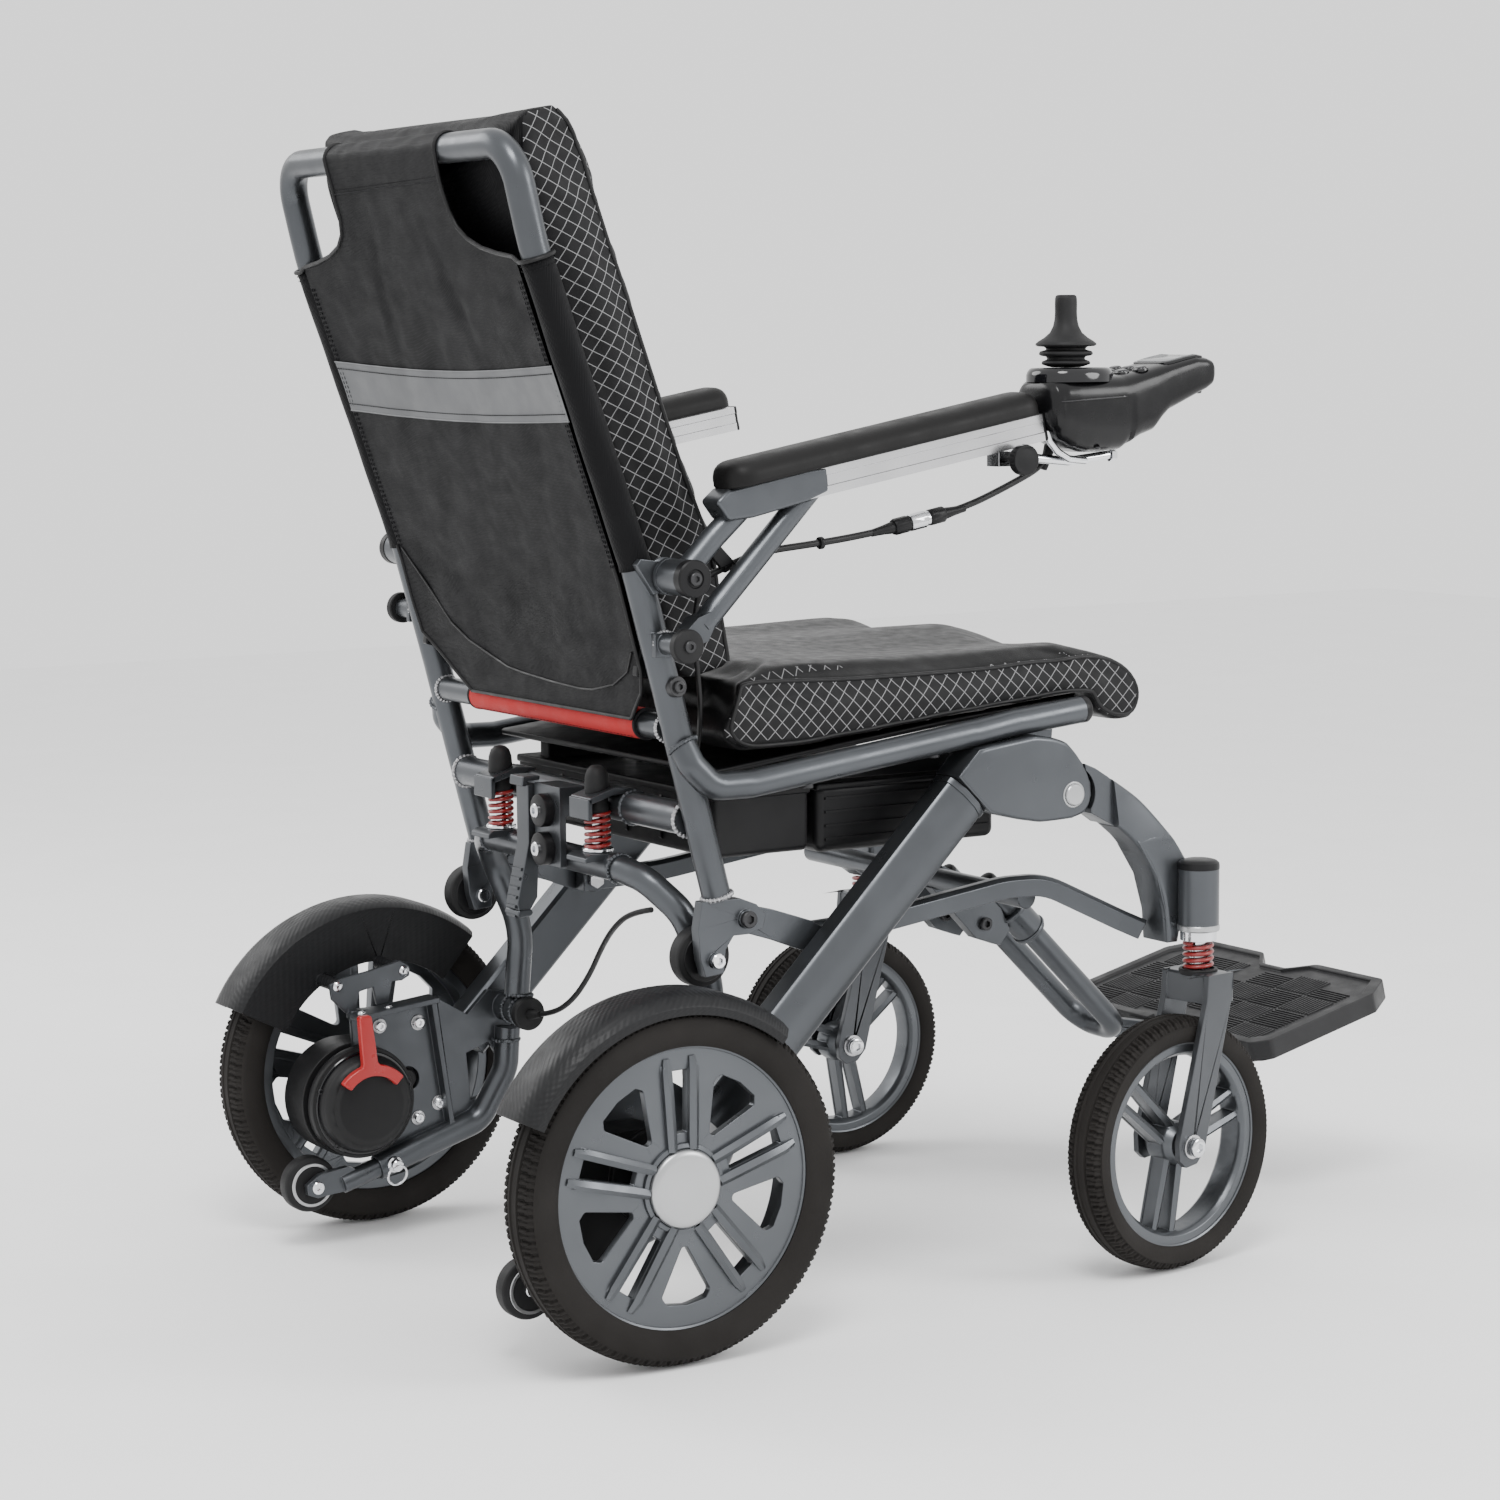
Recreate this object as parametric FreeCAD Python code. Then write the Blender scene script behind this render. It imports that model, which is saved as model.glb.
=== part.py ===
import FreeCAD, Part
import os
from math import pi, sin, cos, tan, acos, atan2, radians, degrees, hypot

# Folding power wheelchair.  Millimetres.  +Z is up, the occupant faces -Y,
# the occupant's right hand is on -X.  Geometry is written with the rear axle
# at y = 0 and moved by Y_SHIFT, so the row's origin is the bottom centre of
# the whole chair.

V = FreeCAD.Vector
os.makedirs("parts", exist_ok=True)

# ---------------------------------------------------------------- dimensions
REAR_R = 150.0          # rear tyre radius (12 in wheel)
REAR_X = 288.0          # rear tyre centre plane
REAR_TW = 24.0          # rear tyre half width
REAR_RIM = 118.0        # rear rim radius
FRONT_R = 115.5         # front tyre radius (9 in wheel)
FRONT_X = 271.5         # front tyre centre plane
FRONT_TW = 21.0         # front tyre half width
FRONT_RIM = 93.0        # front rim radius
FRONT_Y = -525.0        # front axle at rest
SWIVEL_X = 272.0        # caster swivel axis
SWIVEL_Y = -561.0
STEER_DEG = 8.0         # right caster as parked
TUBE_R = 12.5           # main tube radius
POST_X = 215.0          # back post plane
FENDER_R = 158.5
FENDER_X0, FENDER_X1 = 255.0, 317.0
FOLD_P1 = (-439.0, 434.5)    # front frame pivot (y, z)
FOLD_P2 = (-430.0, 462.0)    # seat frame pivot (y, z)
LINK_E = (-110.0, 350.5)     # rear link pivot on the post foot (y, z)
LINK_J = (-190.0, 326.0)     # rear link front pivot, left open
SEAT_HALF = 222.0
PLATE_HALF = 162.0
PLATE_TILT = 13.7
ARMREST_X = 255.0
ARM_PIVOT = (-33.0, 645.0)   # armrest pivot (y, z)
Y_SHIFT = 377.6
MOTOR_AX = (51.0, 136.0)     # drive motor axis (y, z), behind the wheel axle
LEG = 33.0                   # footrest leg half spacing
ARCH_X = 174.0               # rear arch leg plane


# ---------------------------------------------------------------- helpers
def out(name, shapes):
    if not isinstance(shapes, (list, tuple)):
        shapes = [shapes]
    solids = []
    for s in shapes:
        for q in s.Solids:
            if q.Volume < 0:
                q.reverse()
            q = q.copy()
            q.translate(V(0, Y_SHIFT, 0))
            solids.append(q)
    shape = solids[0] if len(solids) == 1 else Part.makeCompound(solids)
    bad = [i for i, q in enumerate(solids) if not q.isValid()]
    b = shape.BoundBox
    print("%-20s solids %2d vol %9.0f  x %7.1f %7.1f y %7.1f %7.1f z %7.1f %7.1f%s" % (
        name, len(solids), shape.Volume, b.XMin, b.XMax, b.YMin, b.YMax, b.ZMin, b.ZMax,
        "  INVALID %s" % bad if bad else ""))
    shape.exportStep("parts/%s.step" % name)


def mx(s):
    """Mirror to the other side of the chair."""
    m = s.mirror(V(0, 0, 0), V(1, 0, 0))
    return m


def both(s):
    return [s, mx(s)]


def box(x0, x1, y0, y1, z0, z1):
    return Part.makeBox(x1 - x0, y1 - y0, z1 - z0, V(x0, y0, z0))


def cyl(p, d, r, h):
    return Part.makeCylinder(r, h, V(*p), V(*d))


def bar(p, q, r):
    a, b = V(*p), V(*q)
    return Part.makeCylinder(r, (b - a).Length, a, b - a)


def poly_x(pts, x0, x1):
    """Prism of a side-view outline (y, z) between two x planes."""
    vs = [V(x0, y, z) for y, z in pts]
    f = Part.Face(Part.makePolygon(vs + [vs[0]]))
    return f.extrude(V(x1 - x0, 0, 0))


def poly_y(pts, y0, y1):
    vs = [V(x, y0, z) for x, z in pts]
    f = Part.Face(Part.makePolygon(vs + [vs[0]]))
    return f.extrude(V(0, y1 - y0, 0))


def path(pts, radii):
    """Straight runs joined by tangent arcs."""
    P = [V(*p) for p in pts]
    if not isinstance(radii, (list, tuple)):
        radii = [radii] * (len(P) - 2)
    edges, start = [], P[0]
    for i in range(1, len(P) - 1):
        a, b, c = P[i - 1], P[i], P[i + 1]
        u, w = (a - b), (c - b)
        lu, lw = u.Length, w.Length
        u.normalize()
        w.normalize()
        ang = acos(max(-1, min(1, u.dot(w))))
        t = min(radii[i - 1] / tan(ang / 2), 0.49 * lu, 0.49 * lw)
        r = t * tan(ang / 2)
        p0, p1 = b + u * t, b + w * t
        m = (u + w)
        m.normalize()
        mid = b + m * (r / sin(ang / 2) - r)
        if (p0 - start).Length > 1e-6:
            edges.append(Part.LineSegment(start, p0).toShape())
        edges.append(Part.Arc(p0, mid, p1).toShape())
        start = p1
    edges.append(Part.LineSegment(start, P[-1]).toShape())
    return Part.Wire(edges)


def tube(pts, r, radii=30.0):
    w = path(pts, radii)
    d = V(*pts[1]) - V(*pts[0])
    c = Part.Wire([Part.makeCircle(r, V(*pts[0]), d)])
    s = w.makePipeShell([c], True, False)
    s = Part.Solid(s) if s.ShapeType != "Solid" else s
    if s.Volume < 0:
        s.reverse()
    return s


def sweep(pts, prof, radii=30.0):
    """Sweep a closed profile, given as 3-D points at the start of the path."""
    w = path(pts, radii)
    c = Part.makePolygon([V(*p) for p in prof] + [V(*prof[0])])
    s = w.makePipeShell([c], True, False)
    s = Part.Solid(s) if s.ShapeType != "Solid" else s
    if s.Volume < 0:
        s.reverse()
    return s


def revolve_x(prof, y, z, deg=360.0):
    """Solid of revolution about the line x through (y, z); prof is (x, r)."""
    vs = [V(a, y, z + b) for a, b in prof]
    f = Part.Face(Part.makePolygon(vs + [vs[0]]))
    return f.revolve(V(0, y, z), V(1, 0, 0), deg)


def revolve_z(prof, x, y):
    vs = [V(x + a, y, b) for a, b in prof]
    f = Part.Face(Part.makePolygon(vs + [vs[0]]))
    return f.revolve(V(x, y, 0), V(0, 0, 1), 360.0)


def fuse(*a):
    s = a[0].multiFuse(list(a[1:])) if len(a) > 1 else a[0]
    return s.removeSplitter()


def fillet(s, r, pick):
    es = [e for e in s.Edges if pick(e)]
    try:
        return s.makeFillet(r, es)
    except Exception:
        return s


def rot(s, p, axis, deg):
    s = s.copy()
    s.rotate(V(*p), V(*axis), deg)
    return s


def polar(y, z, r, a):
    return (y + r * cos(radians(a)), z + r * sin(radians(a)))


def rpad(x0, x1, y0, y1, z0, z1, r, axis=None):
    b = box(x0, x1, y0, y1, z0, z1)
    try:
        if axis is None:
            return b.makeFillet(r, b.Edges)
        return b.makeFillet(r, [e for e in b.Edges if abs(e.tangentAt(0).dot(V(*axis))) > 0.99])
    except Exception:
        return b


# ---------------------------------------------------------------- rear wheels
def rear_rim(s):
    """Flat-faced five-window rim with twin ridges between the windows."""
    y, z = 0.0, REAR_R
    xo, xi = s * 304.0, s * (REAR_X - 18)
    xf = s * 296.0
    barrel = revolve_x([(xi, 108), (xi, REAR_RIM), (s * 302, REAR_RIM), (xo, 116.5), (xo, 98), (xf, 98), (xf, 108)], y, z)
    disc = revolve_x([(xf, 20), (xf, 101), (xo, 101), (xo, 30), (s * 300, 20)], y, z)
    hub = revolve_x([(s * 264.5, 9.2), (s * 264.5, 24), (s * 285, 30), (s * 304, 34), (s * 306, 30), (s * 306, 9.2)], y, z)
    body = fuse(barrel, disc, hub)
    cuts = []
    base = 16.5 if s < 0 else 163.5
    for k in range(5):
        a = base + 72 * k
        c = a + 36
        pts = [polar(y, z, 45, c)] + [polar(y, z, 92, c - 14.5), polar(y, z, 97.5, c - 11), polar(y, z, 98.5, c),
                                      polar(y, z, 97.5, c + 11), polar(y, z, 92, c + 14.5)]
        w = poly_x(pts, s * 290, s * 310) if s > 0 else poly_x(pts, s * 310, s * 290)
        cuts.append(fillet(w, 4, lambda e: abs(e.tangentAt(0).x) > 0.99 and hypot(e.CenterOfMass.y - y, e.CenterOfMass.z - z) < 95))
        ca, sa = cos(radians(a)), sin(radians(a))
        sl = [(46, -5.5), (46, 5.5), (98, 8), (98, -8)]
        pts = [(y + r * ca - t * sa, z + r * sa + t * ca) for r, t in sl]
        cuts.append(poly_x(pts, min(s * 290, s * 310), max(s * 290, s * 310)))
    body = body.cut(Part.makeCompound(cuts))
    ridges = []
    for k in range(5):
        a = base + 72 * k
        ca, sa = cos(radians(a)), sin(radians(a))
        for sg in (-1, 1):
            prof = [(33, sg * 7.0), (33, sg * 13.0), (103, sg * 16.5), (103, sg * 9.5)]
            if sg < 0:
                prof = prof[::-1]
            pts = [(y + r * ca - t * sa, z + r * sa + t * ca) for r, t in prof]
            ridges.append(poly_x(pts, min(s * 295, s * 307.5), max(s * 295, s * 307.5)))
    body = fuse(body, *ridges)
    return body


def tyre(x, hw, y, z, R, ri):
    prof = [(x - hw * 0.80, ri), (x - hw, ri + (R - ri) * 0.45), (x - hw * 0.97, R - 9), (x - hw * 0.80, R - 3.5), (x - hw * 0.45, R - 0.6),
            (x, R), (x + hw * 0.45, R - 0.6), (x + hw * 0.80, R - 3.5), (x + hw * 0.97, R - 9), (x + hw, ri + (R - ri) * 0.45), (x + hw * 0.80, ri)]
    return revolve_x(prof, y, z)


for s, t in ((-1, "r"), (1, "l")):
    out("rear_tyre_" + t, tyre(s * REAR_X, REAR_TW, 0, REAR_R, REAR_R, REAR_RIM))
    # domed hub cap pressed on the hub, and the axle end under it
    cap = revolve_x([(s * 306, 0), (s * 306, 31), (s * 309.5, 31), (s * 312, 27), (s * 312.5, 0)], 0, REAR_R)
    out("rear_rim_" + t, [rear_rim(s), cap])

# ---------------------------------------------------------------- front wheels and casters
def front_rim(s):
    y, z = FRONT_Y, FRONT_R
    x = s * FRONT_X
    barrel = revolve_x([(x - 15, 84), (x - 15, FRONT_RIM), (x + 15, FRONT_RIM), (x + 15, 84), (x + 9, 80), (x - 9, 80)], y, z)
    hub = revolve_x([(x - 17, 6.15), (x - 17, 14), (x - 8, 20), (x + 8, 20), (x + 17, 14), (x + 17, 6.15)], y, z)
    bars = []
    base = 41.5 if s < 0 else 138.5
    for k in range(3):
        a = base + 120 * k
        ca, sa = cos(radians(a)), sin(radians(a))
        for sg in (-1, 1):
            prof = [(12, sg * 4.5), (12, sg * 12.0), (86, sg * 14.5), (86, sg * 8.5)]
            if sg < 0:
                prof = prof[::-1]
            pts = [(y + r * ca - q * sa, z + r * sa + q * ca) for r, q in prof]
            b = poly_x(pts, x - 8, x + 8)
            bars.append(b)
    body = fuse(barrel, hub, *bars)
    return body.cut(cyl((x - 40, y, z), (1, 0, 0), 6.15, 80))


def fork(s):
    """Two-legged fork, with its axle bolt as a second solid."""
    x = s * FRONT_X
    z = FRONT_R
    legs = []
    for sg in (-1, 1):
        xa, xb = x + sg * 22.6, x + sg * 29.0
        pts = [(-577, 268), (-545, 268), (-543, 245), (-508, 120), (-509, 104), (-517, 97), (-531, 99), (-541, 110), (-574, 240)]
        legs.append(poly_x(pts, min(xa, xb), max(xa, xb)))
    crown = box(x - 29.0, x + 29.0, -578, -545, 241, 268)
    crown = fillet(crown, 3, lambda e: e.CenterOfMass.z > 267 or abs(e.tangentAt(0).z) > 0.99)
    f = fuse(crown, *legs)
    # seat for the swivel stem
    f = f.cut(cyl((s * SWIVEL_X, SWIVEL_Y, 230), (0, 0, 1), 8.05, 60))
    f = f.cut(cyl((x - 60, FRONT_Y, z), (1, 0, 0), 5.0, 120))
    axle = cyl((x - 32.0, FRONT_Y, z), (1, 0, 0), 4.95, 64)
    axle = fuse(axle, cyl((x - 34.0, FRONT_Y, z), (1, 0, 0), 8, 4.9), cyl((x + 29.1, FRONT_Y, z), (1, 0, 0), 8, 4.9),
                cyl((x - 22.5, FRONT_Y, z), (1, 0, 0), 9, 5.3), cyl((x + 17.2, FRONT_Y, z), (1, 0, 0), 9, 5.3),
                cyl((x - 20, FRONT_Y, z), (1, 0, 0), 6.1, 40))
    return [f, axle]


for s, t in ((-1, "r"), (1, "l")):
    steer = STEER_DEG if s < 0 else 0.0
    c = (s * SWIVEL_X, SWIVEL_Y, 0)
    out("front_rim_" + t, rot(front_rim(s), c, (0, 0, 1), steer))
    out("front_tyre_" + t, rot(tyre(s * FRONT_X, FRONT_TW, FRONT_Y, FRONT_R, FRONT_R, FRONT_RIM), c, (0, 0, 1), steer))
    out("caster_fork_" + t, [rot(q, c, (0, 0, 1), steer) for q in fork(s)])
    # stem turns in the head; its collar bears on the head's lower face
    x = s * SWIVEL_X
    stem = revolve_z([(0, 243), (8.0, 243), (8.0, 296), (16.5, 296), (16.5, 304.5), (8.0, 304.5), (8.0, 352), (0, 352)], x, SWIVEL_Y)
    out("caster_stem_" + t, stem)
    out("caster_spring_" + t, revolve_z([(9.6, 268.5), (15.0, 268.5), (15.0, 295.5), (9.6, 295.5)], x, SWIVEL_Y))

# ---------------------------------------------------------------- rear frame (root)
# The side beam is an extruded section, 47 deep and 35 thick, with a raised
# middle facet on its outer face.  It runs at 45 degrees from the seat node
# down to the motor bracket.
def side_beam(s):
    d = V(0, cos(radians(45)), -sin(radians(45)))
    n = V(0, sin(radians(45)), cos(radians(45)))
    p0 = V(0, -332.5, 442.0)
    sec = [(211, -19), (211, 19), (214, 22.5), (236, 23.5), (240, 20), (245, 8), (245, -8), (240, -20), (236, -23.5), (214, -22.5)]
    vs = [p0 + n * b + V(s * a, 0, 0) for a, b in sec]
    f = Part.Face(Part.makePolygon(vs + [vs[0]]))
    b = f.extrude(d * 372)
    return b


def seat_node(s):
    """Casting that joins the beam to both fold pivots.  Its front end is a
    round half-lap: the outer half carries the pivot pin."""
    pts = [(-315.7, 459.0), (-338, 481.5), (-398, 488.5), (-432, 481), (-449, 462), (-458, 444), (-459, 432), (-452, 418), (-438, 413.5), (-405, 413), (-349.5, 425.2)]
    full = poly_x(pts, min(s * 211, s * 247), max(s * 211, s * 247))
    lap = cyl((s * 205, FOLD_P1[0], FOLD_P1[1]), (s, 0, 0), 25.0, 24.8)
    front = box(min(s * 205, s * 230), max(s * 205, s * 230), -470, FOLD_P1[0], 405, 456)
    b = full.cut(lap).cut(front)
    return b


beams, nodes = [], []
for s in (-1, 1):
    beams.append(side_beam(s))
    b = seat_node(s)
    p1 = cyl((s * 231, FOLD_P1[0], FOLD_P1[1]), (-s, 0, 0), 8.0, 20.0)
    cap = cyl((s * 246.5, FOLD_P1[0], FOLD_P1[1]), (s, 0, 0), 8.5, 3.0)
    p2 = cyl((s * 212, FOLD_P2[0], FOLD_P2[1]), (-s, 0, 0), 8.0, 14.0)
    nodes.append(fuse(b, p1, cap, p2))
out("side_frames", beams + nodes)

# Motor bracket: plate with a flange, from the rear axle forward to the foot
# of the rear arch, and the socket tube of the anti-tip arm under it.
def motor_bracket(s):
    x0, x1 = sorted((s * 204.5, s * 210.5))
    pts = [(57, 219), (-26, 228), (-64, 205), (-86, 226), (-112, 222), (-122, 196), (-108, 168), (-84, 112), (-44, 96), (41, 84), (50, 120)]
    p = poly_x(pts, x0, x1)
    p = p.cut(cyl((s * 190, 0, REAR_R), (s, 0, 0), 12.0, 40))
    hole = poly_x([(-62, 168), (-86, 176), (-96, 160), (-80, 126), (-66, 122)], x0 - 1, x1 + 1)
    p = p.cut(hole)
    top_fl = poly_x([(57, 219), (-26, 228), (-26.5, 223), (56.5, 214)], *sorted((s * 186, s * 206)))
    side_fl = poly_x([(-26, 228), (-44, 100), (-39, 99.5), (-21, 223)], *sorted((s * 193, s * 206)))
    # socket tube of the anti-tip arm: comes down from the arch foot and runs back
    sock = tube([(s * 199, -104, 190), (s * 199, -101, 150), (s * 199, -72, 104), (s * 199, 36, 71.5)], 12.0, [40, 30])
    d = V(0, 108, -32.5)
    d.normalize()
    e = V(s * 199, 36, 71.5)
    bore = Part.makeCylinder(9.3, 90, e + d * 5, d * -1)
    sock = sock.cut(bore)
    foot = cyl((s * 160, -104, 209), (s, 0, 0), 13.0, 45.0)
    head = cyl((s * 156, -104, 209), (s, 0, 0), 15.0, 4.5)
    arc = poly_x([(72, 232), (74, 246), (62, 251), (30, 256), (2, 262), (-8, 256), (-8, 247), (0, 243), (10, 243), (14, 224), (26, 222), (30, 240), (44, 237), (48, 219), (58, 218)], *sorted((s * 212, s * 216)))
    arc = arc.fuse(box(*sorted((s * 204.5, s * 216)), 12, 56, 213, 221))
    return fuse(p, top_fl, side_fl, sock, foot, head, arc).cut(bore)


out("motor_brackets", both(motor_bracket(1)))


def motor(s):
    y, z = MOTOR_AX
    m = revolve_x([(s * 177, 0), (s * 177, 38), (s * 179, 42), (s * 183, 44.5), (s * 192, 45.5), (s * 192, 49), (s * 194, 51), (s * 204.2, 51), (s * 204.2, 0)], y, z)
    g1 = cyl((s * 210.8, y, z), (s, 0, 0), 54.0, 41.0)
    g2 = cyl((s * 210.8, 0, REAR_R), (s, 0, 0), 40.0, 47.0)
    web_ = poly_x([(51, 190), (0, 190), (0, 110), (51, 82)], *sorted((s * 210.8, s * 251.8)))
    axle = cyl((s * 204.4, 0, REAR_R), (s, 0, 0), 9.14, 95.6)
    g = fuse(g1, g2, web_, axle)
    g = fillet(g, 3, lambda e: abs(abs(e.CenterOfMass.x) - 251.8) < 0.3)
    return [m, g]


ms = motor(1)
out("motor_housings", [ms[0], ms[1], mx(ms[0]), mx(ms[1])])


def fender(s):
    y, z = 4.0, REAR_R - 1
    a, b = s * FENDER_X0, s * FENDER_X1
    prof = [(a, 140), (a, 157), (a + s * 6, FENDER_R + 3), (a + s * 18, FENDER_R + 6), (b - s * 18, FENDER_R + 6), (b - s * 6, FENDER_R + 2), (b, 153), (b, 146),
            (b - s * 2.5, 146), (b - s * 2.5, 152), (b - s * 8, FENDER_R - 1.5), (b - s * 19, FENDER_R + 3), (a + s * 19, FENDER_R + 3), (a + s * 8, FENDER_R), (a + s * 2.5, 155), (a + s * 2.5, 140)]
    sh = revolve_x(prof, y, z, 103.0)
    # the revolve starts at the top; turn it to span from the rear tip to the front tip
    sh = rot(sh, (0, y, z), (1, 0, 0), -63.0)
    skirt = revolve_x([(a, 107), (a, 150), (a + s * 2.4, 150), (a + s * 2.4, 107)], y, z, 103.0)
    skirt = rot(skirt, (0, y, z), (1, 0, 0), -63.0)
    boss = [cyl((s * 216.2, yy, zz), (s, 0, 0), 6.0, 39.5) for yy, zz in ((62, 243), (3, 254))]
    return fuse(sh, skirt, *boss)


out("fenders", both(fender(1)))

# Rear arch: one bent tube from foot to foot, crossing under the back frame.
ax = ARCH_X
arch_pts = [(-ax, -101, 224.5), (-ax, -107, 288), (-ax + 1, -80, 352), (-148, -58, 380), (-118, -50, 386), (118, -50, 386), (148, -58, 380), (ax - 1, -80, 352), (ax, -107, 288), (ax, -101, 224.5)]
arch = tube(arch_pts, 12.0, [90, 40, 35, 50, 50, 35, 40, 90])
arch = arch.cut(Part.makeCompound([cyl((sg * 150, -104, 209), (sg, 0, 0), 15.3, 60) for sg in (-1, 1)]))
out("rear_arch", arch)

# ---------------------------------------------------------------- front frame (body B)
def front_arm(s):
    """Curved arm from the pivot boss to the caster head."""
    outer = [(-452, 461), (-464, 456), (-477, 448), (-512, 424), (-540, 393), (-560, 364), (-562, 350), (-556, 330), (-548, 293)]
    inner = [(-459.5, 416), (-484, 403), (-503, 388), (-525, 354), (-535, 320), (-537, 293)]
    pts = outer + inner[::-1]
    a = poly_x(pts, *sorted((s * 222, s * 247)))
    a = a.fuse(poly_x([(-462, 430), (-470, 440), (-459.5, 416)], *sorted((s * 222, s * 247))))
    out_ = poly_x([(-512, 424), (-540, 393), (-560, 364), (-562, 350), (-556, 330), (-548, 293), (-537, 293), (-535, 320), (-525, 354), (-503, 388)], *sorted((s * 246.9, s * 258)))
    out_ = out_.common(poly_y([(s * 230, 500), (s * 230, 280), (s * 262, 280), (s * 262, 372), (s * 247, 424)], -600, -480))
    web = poly_x([(-439, 455), (-452, 455), (-470, 448), (-470, 412), (-459.5, 416), (-452, 415), (-439, 414)], *sorted((s * 213, s * 229.5)))
    tongue = cyl((s * 213, FOLD_P1[0], FOLD_P1[1]), (s, 0, 0), 20.5, 16.5)
    a = a.cut(cyl((s * 229.4, FOLD_P1[0], FOLD_P1[1]), (s, 0, 0), 24.5, 40))
    a = a.fuse(poly_x([(-462, 452), (-484, 440), (-484, 403), (-462, 418)], *sorted((s * 213, s * 229.5))))
    head = cyl((s * SWIVEL_X, SWIVEL_Y, 305.0), (0, 0, 1), 18.6, 57.0)
    dome = revolve_z([(0, 362), (18.6, 362), (16.5, 365), (0, 366)], s * SWIVEL_X, SWIVEL_Y)
    f = fuse(a, out_, web, tongue, head, dome)
    f = f.cut(cyl((s * SWIVEL_X, SWIVEL_Y, 280), (0, 0, 1), 8.05, 74))
    f = f.cut(cyl((s * 200, FOLD_P1[0], FOLD_P1[1]), (s, 0, 0), 8.05, 60))
    return f


# Lower bars run back inside the beams and are joined by a cross tube.
LX = 187.0
def lower_bar(s):
    pts = [(s * LX, -178, 325), (s * LX, -262, 328), (s * LX, -405, 347), (s * (LX + 5), -446, 347), (s * 222, -510, 312), (s * 233, -527, 303)]
    pr = [(s * LX - 8, -178, 315.5), (s * LX + 8, -178, 315.5), (s * LX + 8, -178, 331), (s * LX + 4, -178, 334.5), (s * LX - 4, -178, 334.5), (s * LX - 8, -178, 331)]
    b = sweep(pts, pr, [400, 120, 60, 25])
    eye = cyl((s * (LX - 8), LINK_J[0], LINK_J[1]), (s, 0, 0), 12.0, 16.0)
    b = b.fuse(eye).cut(cyl((s * (LX - 9), LINK_J[0], LINK_J[1]), (s, 0, 0), 5.2, 20.0))
    return b


cross = bar((-LX + 7, -437, 333), (LX - 7, -437, 333), 10.0)
clamps = []
leg_dir = (0.0, -0.7071, -0.7071)
LEG_TOP = (-497.0, 323.0)
for sg in (-1, 1):
    c0 = (sg * LEG, LEG_TOP[0] - 0.7071 * 38, LEG_TOP[1] - 0.7071 * 38)
    c1 = (sg * LEG, LEG_TOP[0] - 0.7071 * 74, LEG_TOP[1] - 0.7071 * 74)
    sl = bar(c0, c1, 16.0)
    web = poly_x([(-441, 345), (-430, 324), (-480, 272), (-508, 262), (-520, 276), (-500, 318)], sg * LEG - 7, sg * LEG + 7)
    cl_ = fuse(sl, web)
    a0 = (sg * LEG, LEG_TOP[0] + 40, LEG_TOP[1] + 40)
    a1 = (sg * LEG, LEG_TOP[0] - 200, LEG_TOP[1] - 200)
    clamps.append(cl_.cut(bar(a0, a1, 11.3)).cut(bar((-200, -437, 333), (200, -437, 333), 10.0)))
out("front_frame", both(front_arm(1)) + both(lower_bar(1)) + [cross] + clamps)

# Clamp knob on the left leg, and the U-shaped footrest tube.
kc = (LEG, LEG_TOP[0] - 0.7071 * 56, LEG_TOP[1] - 0.7071 * 56)
knob = fuse(cyl((LEG - 16.3, kc[1], kc[2]), (-1, 0, 0), 6.0, 10.0), cyl((LEG - 22, kc[1], kc[2]), (-1, 0, 0), 14.5, 13.0))
out("footrest_knob", knob)
ub = 228.0
UB_Y, UB_Z = LEG_TOP[0] - 0.7071 * ub, LEG_TOP[1] - 0.7071 * ub
pts = [(LEG, LEG_TOP[0], LEG_TOP[1]), (LEG, UB_Y, UB_Z), (-LEG, UB_Y, UB_Z), (-LEG, LEG_TOP[0], LEG_TOP[1])]
ft = tube(pts, 11.0, [27, 27])
# hinge ears for the footplate, welded to the bottom of the U
ear = poly_x([(UB_Y + 4, UB_Z - 8), (UB_Y - 10, UB_Z + 8), (-724, 158), (-732, 152), (-730, 142), (-718, 138)], -9, 9)
ear = ear.fuse(cyl((-9, -724, 149), (1, 0, 0), 8.0, 18))
hp = cyl((-40, -724, 149), (1, 0, 0), 4.0, 80)
ft = fuse(ft, ear.cut(bar((LEG, UB_Y, UB_Z), (-LEG, UB_Y, UB_Z), 8)), hp)
out("footrest_tube", ft)
print("footrest bottom", UB_Y, UB_Z)

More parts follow.
